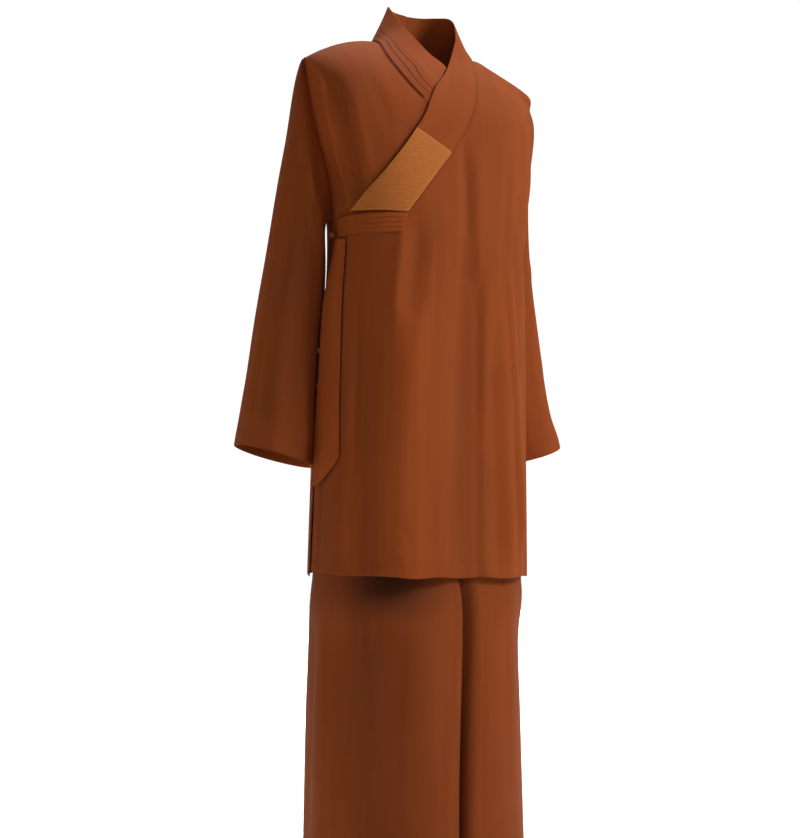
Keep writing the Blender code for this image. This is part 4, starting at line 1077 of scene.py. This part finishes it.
def makeCollar(name, side):
    shares = spread(collar["across"], (0.012, 0.03), (0.012, 0.03))
    places, points, sink = collarGrid(side, shares)
    way = -side * directions(points)
    if side > 0:
        lift = mix(*collar["leftLift"], shares)[None, :] + 0 * sink
    else:
        neck, chest = collar["rightLift"]
        lift = np.where(places[:, None] < collar["rightChest"], neck, chest + sink)
    metres = runLengths(points)
    ripple = np.sin(places * 2.1 + 0.4)[:, None] * np.sin(shares * 3.1)[None, :]
    seamMark = edgeMark(metres[..., 0], collar["seamWidth"])
    lift = lift + collar["ripple"] * ripple - collar["seamSink"] * seamMark
    outer = points + way * lift[..., None]
    inner = outer - way * collar["wall"]
    outer[0, :, 0] = inner[0, :, 0] = side * 0.0002
    marksAndShading = 1 - collar["seamTone"] * seamMark
    piece = buildWall(name, outer, inner, metres, clothMaterials["collar"], marksAndShading=marksAndShading)
    return piece, outer, way


def overCollar(outer, way, rowStart, rowEnd, shares):
    # points and directions that lie on a collar's outer face
    base = spread(collar["across"], (0.012, 0.03), (0.012, 0.03))
    where = np.interp(shares, base, np.arange(len(base)))
    k = np.clip(where.astype(int), 0, len(base) - 2)
    f = (where - k)[None, :, None]
    rows = slice(rowStart, rowEnd)
    points = outer[rows][:, k] * (1 - f) + outer[rows][:, k + 1] * f
    ways = way[rows][:, k] * (1 - f) + way[rows][:, k + 1] * f
    return points, ways / np.linalg.norm(ways, axis=-1, keepdims=True)


collarLeft, leftOuter, leftWay = makeCollar("collarLeft", 1)
settle(collarLeft, "collar_left")
collarRight, rightOuter, rightWay = makeCollar("collarRight", -1)
settle(collarRight, "collar_right")


def makeTuck(number):
    # a narrow pleat: one edge lies low under its neighbour, the other stands up
    low, high = collar["tuckEdges"][number - 1], collar["tuckEdges"][number] - 0.01
    low = low + 0.01 if number > 1 else low
    shares = mix(low, high, np.linspace(0, 1, 12))
    steps = collar["steps"]
    first, last = (row * steps for row in collar["tuckRows"])
    points, ways = overCollar(rightOuter, rightWay, first, last + steps + 1, shares)
    ends = along(collar["tuckEnds"], shares, smooth=False)[0]
    rows = np.arange(len(points), dtype=float)
    stretch = steps * np.linspace(0, 1, 10)[1:]
    places = np.concatenate([np.arange(last - first + 1, dtype=float), last - first + stretch])
    grid = np.zeros((len(places), len(shares), 3))
    gridWays = np.zeros_like(grid)
    for j in range(len(shares)):
        over = np.maximum(places - (last - first), 0) * ends[j]
        at = np.minimum(places, last - first) + over
        for k in range(3):
            grid[:, j, k] = np.interp(at, rows, points[:, j, k])
            gridWays[:, j, k] = np.interp(at, rows, ways[:, j, k])
    f = np.linspace(0, 1, 12)
    least, gain = collar["tuckRise"]
    lift = collar["tuckLift"] + collar["tuckWall"] * (least + gain * f ** 1.5)
    outer = grid + gridWays * lift[None, :, None]
    inner = grid + gridWays * collar["tuckLift"]
    # painted shade along the low edge, under the neighbouring tuck
    marksAndShading = 1 - collar["tuckShade"] * edgeMark(f, 0.14)[None, :] + 0 * grid[..., 0]
    return buildWall(f"collarTuck{number}", outer, inner, runLengths(grid),
                     clothMaterials["tuck"], marksAndShading=marksAndShading)


for number in (1, 2, 3):
    tuck = makeTuck(number)
    settle(tuck, f"collar_tuck_{number}")


patch = {
    "ochre": (0.56, 0.172, 0.033, 1),
    "ochreDeep": (0.42, 0.112, 0.019, 1),
    "thread": (0.68, 0.240, 0.055, 1),
    "rowGap": 0.0032,           # metres between two rows of quilting
    "wave": (330.0, 0.0004),    # waves of the rows in radians to the metre, and their height
    "wander": (90.0, 0.0030),
    "grainSize": 1400.0,
    "spotSize": 520.0,
    "rowShare": 0.34,           # how much rows, grain and spots each lighten the ground
    "grainShare": 0.60,
    "groundLevel": 0.32,
    "stitchEdge": (0.62, 2.4),
    "depths": (0.0005, 0.0004, 0.00008),    # of the rows, the grain and the weave
    "relief": 0.7,
    "gloss": 0.14,
    "firstRow": 14,             # the left collar's station where the patch begins
    "edgeSink": 0.0005,
    "pillow": (0.0005, 0.006),  # how far it swells within its edges, and over what width
    "rimWidth": 0.0022,
    "rimTone": 0.10,
    "lift": 0.0003,
    "wall": 0.0011,
}


def makePatchMaterial():
    # close wavy rows of stitches that run level over a grainy ground
    maker = Maker("stitched patch cloth")
    coords = maker.node("ShaderNodeTexCoord", {}, {}, output=3)
    x, y, z = maker.split(coords)
    weave = woven(maker)[2]
    waves, height = patch["wave"]
    wanderSize, wander = patch["wander"]
    bend = maker.noise(coords, wanderSize, 1.0)
    wave = (x * waves).sine() * height + (bend - 0.5) * wander
    rows = ((z + wave) * (2 * math.pi / patch["rowGap"])).sine() * 0.5 + 0.5
    grain = maker.noise(coords, patch["grainSize"], 2.0)
    spots = maker.noise(coords, patch["spotSize"], 2.0)
    mixed = rows * patch["rowShare"] + (grain + spots) * patch["grainShare"]
    ground = maker.blend(mixed - patch["groundLevel"], patch["ochreDeep"], patch["ochre"])
    stitchStart, stitchRise = patch["stitchEdge"]
    stitch = (rows - stitchStart) * stitchRise * spots
    colour = maker.blend(stitch.highest(0.0), ground, patch["thread"])
    maker.join(maker.shader.inputs["Base Color"], shaded(maker, colour))
    rowDepth, grainDepth, weaveDepth = patch["depths"]
    maker.relief(rows * rowDepth + grain * grainDepth + weave * weaveDepth, patch["relief"])
    maker.join(maker.shader.inputs["Roughness"], grain * 0.2 + 0.55)
    maker.shader.inputs["Specular IOR Level"].default_value = patch["gloss"]
    return maker.material


def makePatch():
    shares = spread(34, (0.008, 0.02), (0.008, 0.02))
    first = patch["firstRow"] * collar["steps"]
    points, ways = overCollar(leftOuter, leftWay, first, len(leftOuter), shares)
    metres = runLengths(points)
    across = np.minimum(metres[..., 0], metres[:, -1:, 0] - metres[..., 0])
    down = np.minimum(metres[..., 1], metres[-1, 0, 1] - metres[..., 1])
    inside = np.minimum(across, down)
    rim = edgeMark(inside, patch["rimWidth"])
    swell, swellWidth = patch["pillow"]
    pillow = swell * ease(inside / swellWidth) - patch["edgeSink"]
    outer = points + ways * (patch["lift"] + patch["wall"] + pillow)[..., None]
    inner = points + ways * patch["lift"]
    marksAndShading = 1 + patch["rimTone"] * rim
    return buildWall("collarPatch", outer, inner, metres, makePatchMaterial(), marksAndShading=marksAndShading)


patchPiece = makePatch()
settle(patchPiece, "collar_patch")


# the tucked band at the side and the hanging tie

band = {
    "lift": 0.0008,
    "wall": 0.0011,
    "ridge": 0.0006,
    "crest": 0.82,              # where each tuck is highest, as a share of its height
    "tucks": 4,
    "slant": 0.42,
    "top": 0.3055,
    "low": 0.3363,
    "grooveWidth": 0.0010,
    # painted shade in the grooves between the tucks
    "grooveShade": 0.22,
}


def makeBand():
    rows = np.linspace(0, 1, 57)[:, None]
    end = along(coat["leftSeam"], coat["lapDrop"])[0]
    column = (end - coat["lapTurn"]) / 7
    columns = spread(60, (0.006,), (0.006,))[None, :]
    turn = coat["lapTurn"] + columns * (end - band["slant"] * column * rows - coat["lapTurn"])
    drop = mix(band["top"], band["low"], rows) + 0 * turn
    points = body(turn, drop)
    way = directions(points)
    phase = (rows * band["tucks"]) % 1.0
    ridge = band["ridge"] * np.minimum(phase / band["crest"], (1 - phase) / (1 - band["crest"]))
    wall = band["wall"] + np.clip(ridge, 0, 1)
    outer = points + way * (band["lift"] + wall + 0 * turn)[..., None]
    inner = points + way * band["lift"]
    groove = np.minimum(phase, 1 - phase) * (band["low"] - band["top"]) / band["tucks"]
    # painted shade in each groove
    marksAndShading = 1 - band["grooveShade"] * edgeMark(groove, band["grooveWidth"]) + 0 * turn
    metres = np.stack([turn * coat["perDegree"], drop], -1)
    return buildWall("sideBand", outer, inner, metres, clothMaterials["band"], marksAndShading=marksAndShading)


bandPiece = makeBand()
settle(bandPiece, "side_band")


tie = {
    "wall": 0.0013,
    "endLift": 0.046,
    "endCurve": 1.8,
    "bow": 0.0035,              # how far its middle stands out
    "ripple": 0.0006,
    "hemPlace": 0.0042,         # its stitched edge: distance in, width, depth and tone
    "hemWidth": 0.0009,
    "hemDepth": 0.0003,
    "hemTone": 0.20,
    "sections": (
        # drop, rightTurn, rightLift, leftTurn, leftLift
        (0.341, -76.0, 0.0040, -88.0, 0.0060),
        (0.400, -75.0, 0.0042, -93.0, 0.0094),
        (0.450, -74.0, 0.0042, -95.5, 0.0116),
        (0.550, -71.0, 0.0042, -94.0, 0.0112),
        (0.735, -66.5, 0.0042, -92.5, 0.0120),
    ),
}


def makeTie():
    f = np.concatenate([np.linspace(0, 0.99, 110), [1.0]])[:, None]
    g = spread(20, (0.02, 0.05), (0.02, 0.05))[None, :]
    top, low = tie["sections"][0][0], tie["sections"][-1][0]
    end = low - tie["endLift"] * (1 - g) ** tie["endCurve"]
    drop = mix(top, end, f)
    rightTurn, rightLift, leftTurn, leftLift = along(tie["sections"], drop)

    def lifted(turn, lift):
        points = body(turn, drop, folds=False)
        ahead = body(turn + 1, drop, folds=False) - body(turn - 1, drop, folds=False)
        down = body(turn, drop + 0.003, folds=False) - body(turn, drop - 0.003, folds=False)
        way = np.cross(down, ahead)
        return points + way / np.linalg.norm(way, axis=-1, keepdims=True) * lift[..., None]

    near, far = lifted(rightTurn, rightLift), lifted(leftTurn, leftLift)
    points = near + (far - near) * g[..., None]
    way = -directions(points)
    way = way * np.sign(-way[..., 1:2] - way[..., 0:1])
    bow = (tie["bow"] + tie["ripple"] * np.sin(f * 19 + g * 3)) * np.sin(math.pi * g)
    outer = points + way * bow[..., None]
    inner = outer - way * tie["wall"]
    across = np.linalg.norm(far - near, axis=-1) * g
    metres = np.stack([across, drop + 0 * g], -1)
    edge = np.minimum(g, 1 - g) * np.linalg.norm(far - near, axis=-1)
    hemLine = edgeMark(edge - tie["hemPlace"], tie["hemWidth"])
    outer = outer - way * (tie["hemDepth"] * hemLine)[..., None]
    marksAndShading = 1 - tie["hemTone"] * hemLine
    return buildWall("tieRibbon", outer, inner, metres, clothMaterials["tie"], marksAndShading=marksAndShading)


tiePiece = makeTie()
settle(tiePiece, "tie_ribbon")


# the knotted buttons

knots = {
    "places": (
        # turn, drop, reach, radius
        (-92.5, 0.3300, 0.0078, 0.0050),
        (-96.5, 0.5175, 0.0108, 0.0048),
        (-96.9, 0.5740, 0.0092, 0.0046),
    ),
    "ring": (0.66, 0.36),       # reach and thickness of each cord ring, as shares of the knot
    "heart": 0.72,
    "lean": 64.0,
    "stem": 0.0019,
    "stemGap": 0.0008,
    "dark": 0.8,
    "grainSize": 900.0,
    "twillSize": 2400.0,
    "relief": 0.7,
}


def makeKnot(number, turn, drop, reach, radius):
    base = Vector(body(turn, drop))
    before, after = body(turn - 1, drop), body(turn + 1, drop)
    down = body(turn, drop + 0.003) - body(turn, drop - 0.003)
    out = Vector(np.cross(down, after - before)).normalized()
    centre = base + out * reach
    parts = []
    turned = out.to_track_quat("Z", "Y")
    ringReach, ringThick = (share * radius for share in knots["ring"])
    bpy.ops.object.select_all(action="DESELECT")
    for k in range(3):
        bpy.ops.mesh.primitive_torus_add(major_radius=ringReach, minor_radius=ringThick,
                                         major_segments=28, minor_segments=12)
        ring = bpy.context.object
        ring.rotation_euler = (math.radians(knots["lean"]), 0, math.radians(60 * k))
        parts.append(ring)
    bpy.ops.mesh.primitive_uv_sphere_add(segments=20, ring_count=12,
                                         radius=radius * knots["heart"])
    parts.append(bpy.context.object)
    stem = reach - knots["stemGap"]
    bpy.ops.mesh.primitive_cylinder_add(vertices=16, radius=knots["stem"], depth=stem,
                                        location=(0, 0, -stem / 2 - 0.0001))
    parts.append(bpy.context.object)
    for part in parts:
        part.select_set(True)
    bpy.context.view_layer.objects.active = parts[0]
    bpy.ops.object.join()
    knot = bpy.context.object
    bpy.ops.object.transform_apply(location=True, rotation=True, scale=True)
    for vertex in knot.data.vertices:
        vertex.co = centre + turned @ vertex.co
    knot.name = knot.data.name = f"knotButton{number}"
    bpy.ops.object.shade_smooth()
    knot.data.materials.clear()
    knot.data.materials.append(knotMaterial)
    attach(knot, "root")
    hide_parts(f"knot_{number}")
    return knot


def makeKnotMaterial():
    maker = Maker("knotted cord cloth")
    coords = maker.node("ShaderNodeTexCoord", {}, {}, output=3)
    grain = maker.noise(coords, knots["grainSize"], 2.0)
    twill = maker.noise(coords, knots["twillSize"], 1.0)
    colour = maker.blend(grain, dyed(clothLook["rustLow"], knots["dark"]), clothLook["rust"])
    maker.join(maker.shader.inputs["Base Color"], colour)
    maker.join(maker.shader.inputs["Roughness"], twill * 0.1 + 0.74)
    maker.relief(grain * 0.0003 + twill * 0.0002, knots["relief"])
    maker.shader.inputs["Sheen Weight"].default_value = clothLook["sheen"]
    return maker.material


knotMaterial = makeKnotMaterial()
for number, place in enumerate(knots["places"], 1):
    makeKnot(number, *place)
print("knotted buttons tied")


# the trousers

trousers = {
    "wall": 0.0015,
    "crotch": -0.700,
    "square": 2.5,
    "arc": 96,
    "sections": (
        # height, halfWidth, front, back, middle, innerGap, corner
        (-1.400, 0.1930, 0.1250, 0.1250, 0.010, 0.0060, 0.024),
        (-1.120, 0.1875, 0.1190, 0.1210, 0.012, 0.0050, 0.024),
        (-1.000, 0.1845, 0.1130, 0.1180, 0.010, 0.0040, 0.024),
        (-0.930, 0.1890, 0.1070, 0.1140, 0.005, 0.0040, 0.022),
        (-0.884, 0.1865, 0.1010, 0.1100, 0.005, 0.0036, 0.020),
        (-0.800, 0.1800, 0.0980, 0.1060, 0.004, 0.0030, 0.018),
        (-0.700, 0.1700, 0.0960, 0.1020, 0.000, 0.0010, 0.006),
        (-0.560, 0.1590, 0.0930, 0.0980, -0.005, 0.0004, 0.006),
        (-0.458, 0.1500, 0.0900, 0.0930, -0.010, 0.0004, 0.006),
    ),
    "meets": (
        # height, how far the front fold between the legs lies towards the wearer's left
        (-1.400, 0.010),
        (-1.210, 0.014),
        (-0.890, 0.027),
        (-0.780, 0.012),
        (-0.700, 0.000),
    ),
    "slotShade": 0.50,          # less light between the legs
    "slotEdge": 0.95,
    "slotFade": 6,              # columns over which it fades
    "hollow": (35.0, 22.0),     # turn and spread of the right leg's deep front fold
    # painted shade in that fold
    "hollowShade": 0.27,
    "hemShade": 0.962,          # how far down the coat shades them
    "hemFade": 0.070,
    "hemShadowTones": (0.10, 0.66),   # painted shadow of the coat's hem: how dark, and how much darker in the hollow
    "leftShift": (6.0, 5.0),    # degrees by which the left leg's folds and creases stand apart
    "leftFolds": 0.45,          # how strong its folds are
    "perDegree": 0.003,
    "foldBegins": (0.86, 0.16),
    "meetBegins": 0.070,
    "meetSpread": 0.026,
    "folds": (
        # topTurn, lowTurn, top, low, height, width
        (11.0, 12.0, 0.70, 1.42, 0.0095, 20.0),
        (62.0, 61.0, 0.72, 1.42, -0.0095, 20.0),
        (90.0, 92.0, 0.60, 1.42, 0.0025, 10.0),
        (122.0, 118.0, 0.65, 1.42, 0.0050, 9.0),
        (146.0, 150.0, 0.60, 1.42, -0.0060, 9.0),
    ),
    "creases": (
        # startTurn, startPlace, endTurn, endPlace, height, width
        (28.0, 0.90, 30.0, 1.28, -0.0010, 0.010),
        (52.0, 0.92, 50.0, 1.34, 0.0012, 0.010),
        (74.0, 0.95, 76.0, 1.36, 0.0010, 0.009),
        (8.0, 0.96, 6.0, 1.36, -0.0009, 0.008),
        (100.0, 0.92, 104.0, 1.30, -0.0010, 0.010),
        (134.0, 0.90, 132.0, 1.34, 0.0011, 0.010),
        (164.0, 0.92, 162.0, 1.36, 0.0010, 0.009),
    ),
}


def legGrid(side, heights, wholeTube):
    half, front, back, middle, gap, corner = along(trousers["sections"], heights[:, None])
    turn = np.linspace(0, 180, trousers["arc"] + 1)[None, :]
    s, c = np.sin(np.radians(turn)), np.cos(np.radians(turn))
    square = trousers["square"]
    rho = (np.abs(s) ** square + np.abs(c) ** square) ** (-1 / square)
    start = gap / 2 + (corner if wholeTube else 0.0)
    x = np.maximum(half * s * rho, 0.0) * (half - start) / half + start
    y = middle - np.where(c > 0, front, back) * c * rho
    place = -heights[:, None]
    foldShift, creaseShift = (shift * (side > 0) for shift in trousers["leftShift"])
    strength = trousers["leftFolds"] if side > 0 else 1.0
    bulge = strength * foldHeight(trousers["folds"], turn + foldShift, place)
    bulge = bulge + creaseHeight(trousers["creases"], turn + creaseShift, place,
                                 trousers["perDegree"])
    begins, fade = trousers["foldBegins"]
    bulge = bulge * ease((place - begins) / fade)
    x, y = x + s * bulge, y - c * bulge
    if wholeTube:
        frontY, backY = y[:, :1], y[:, -1:]
        curve = np.linspace(0, 90, 7)[None, 1:]
        lean, rise = np.sin(np.radians(curve)), np.cos(np.radians(curve))
        backX = gap / 2 + corner * (1 - lean)
        backTurnY = backY - corner * (1 - rise)
        f = np.linspace(0, 1, 40)[None, 1:-1]
        wallX = gap / 2 + 0 * f
        wallY = mix(backY - corner, frontY + corner, f)
        frontX = gap / 2 + corner * (1 - np.flip(lean, 1))
        frontTurnY = frontY + corner * (1 - np.flip(rise, 1))
        x = np.concatenate([x, backX, wallX, frontX], 1)
        y = np.concatenate([y, backTurnY, wallY, frontTurnY], 1)
    z = np.broadcast_to(heights[:, None], x.shape)
    meets = along(trousers["meets"], heights[:, None])[0] if wholeTube else 0.0
    ahead = ease((-y - trousers["meetBegins"]) / trousers["meetSpread"])
    return np.stack([side * x + meets * ahead * (1 - x / half), y, z], -1)


def makeLeg(name, side):
    upper = np.linspace(-0.4585, trousers["crotch"], 30)
    lower = np.concatenate([np.linspace(trousers["crotch"], -1.392, 138), [-1.3965, -1.400]])
    tube = legGrid(side, lower, True)
    columns = tube.shape[1]
    shell = legGrid(side, upper[:-1], False)
    spare = np.repeat(shell[:, -1:], columns - shell.shape[1], 1)
    points = np.concatenate([np.concatenate([shell, spare], 1), tube])
    way = side * directions(points, ring=True)
    top, arc = len(shell), trousers["arc"]
    way[:top, :arc + 1] = side * directions(points[:top + 1, :arc + 1])[:top]
    inner = points - way * trousers["wall"]
    keep = np.ones((len(points) - 1, columns), bool)
    keep[:top, arc:] = False
    metres = runLengths(points)
    metres[..., 1] = -points[..., 2]
    shade = np.ones(columns)
    count = trousers["slotFade"]
    fade = np.linspace(trousers["slotEdge"], trousers["slotShade"], count)
    shade[arc + 1:] = trousers["slotShade"]
    shade[arc + 1:arc + 1 + count] = fade
    shade[-count:] = fade[::-1]
    turn = np.linspace(0, 180, arc + 1)
    foldTurn, foldSpread = trousers["hollow"]
    hollow = np.zeros(columns)
    hollow[:len(turn)] = (side < 0) * np.exp(-((turn - foldTurn) / foldSpread) ** 2)
    # painted shadow of the coat's hem on the trousers, deeper in the right leg's hollow
    plain, deeper = trousers["hemShadowTones"]
    below = ease((trousers["hemShade"] + points[..., 2]) / trousers["hemFade"])
    under = 1 - (plain + deeper * hollow) * below
    shade = shade * (1 - trousers["hollowShade"] * hollow)
    return buildWall(name, points, inner, metres, clothMaterials["trousers"], ring=True,
                     keep=keep, marksAndShading=shade[None, :] * under)


legLeft = makeLeg("trouserLeft", 1)
settle(legLeft, "trouser_left")
legRight = makeLeg("trouserRight", -1)
settle(legRight, "trouser_right")


waistSizes = {"top": -0.418, "low": -0.4576, "wall": 0.0023, "ripple": (0.0005, 40.0)}


def makeWaist():
    half, front, back, middle = along(trousers["sections"], -0.458)[:4]
    heights = np.linspace(waistSizes["top"], waistSizes["low"], 12)[:, None]
    turn = np.linspace(0, 2 * math.pi, 144, endpoint=False)[None, :]
    s, c = np.sin(turn), np.cos(turn)
    square = trousers["square"]
    rho = (np.abs(s) ** square + np.abs(c) ** square) ** (-1 / square)
    height, waves = waistSizes["ripple"]
    swell = height * np.sin(turn * waves) + 0 * heights
    x = half * s * rho + s * swell
    y = middle - np.where(c > 0, front, back) * c * rho - c * swell
    points = np.stack([x, y, heights + 0 * turn], -1)
    away = np.stack([s, -c, 0 * s], -1) + 0 * points
    inner = points - away * waistSizes["wall"]
    metres = np.stack([turn * 0.13 + 0 * heights, -heights + 0 * turn], -1)
    return buildWall("waistBand", points, inner, metres, clothMaterials["trousers"], ring=True)


waist = makeWaist()
settle(waist, "waistband")


# the pale floor

floorLook = {"colour": (0.94, 0.94, 0.94, 1), "height": -1.404, "radius": 3.6}
bpy.ops.object.select_all(action="DESELECT")
bpy.ops.mesh.primitive_circle_add(vertices=128, radius=floorLook["radius"], fill_type="NGON",
                                  location=(0, 0, floorLook["height"]))
floor = bpy.context.object
floor.name = "floor"
bpy.ops.object.transform_apply(location=True, rotation=True, scale=True)
floorMaker = Maker("pale floor")
floorMaker.shader.inputs["Base Color"].default_value = floorLook["colour"]
floorMaker.shader.inputs["Roughness"].default_value = 0.9
floor.data.materials.append(floorMaker.material)
print("floor laid")
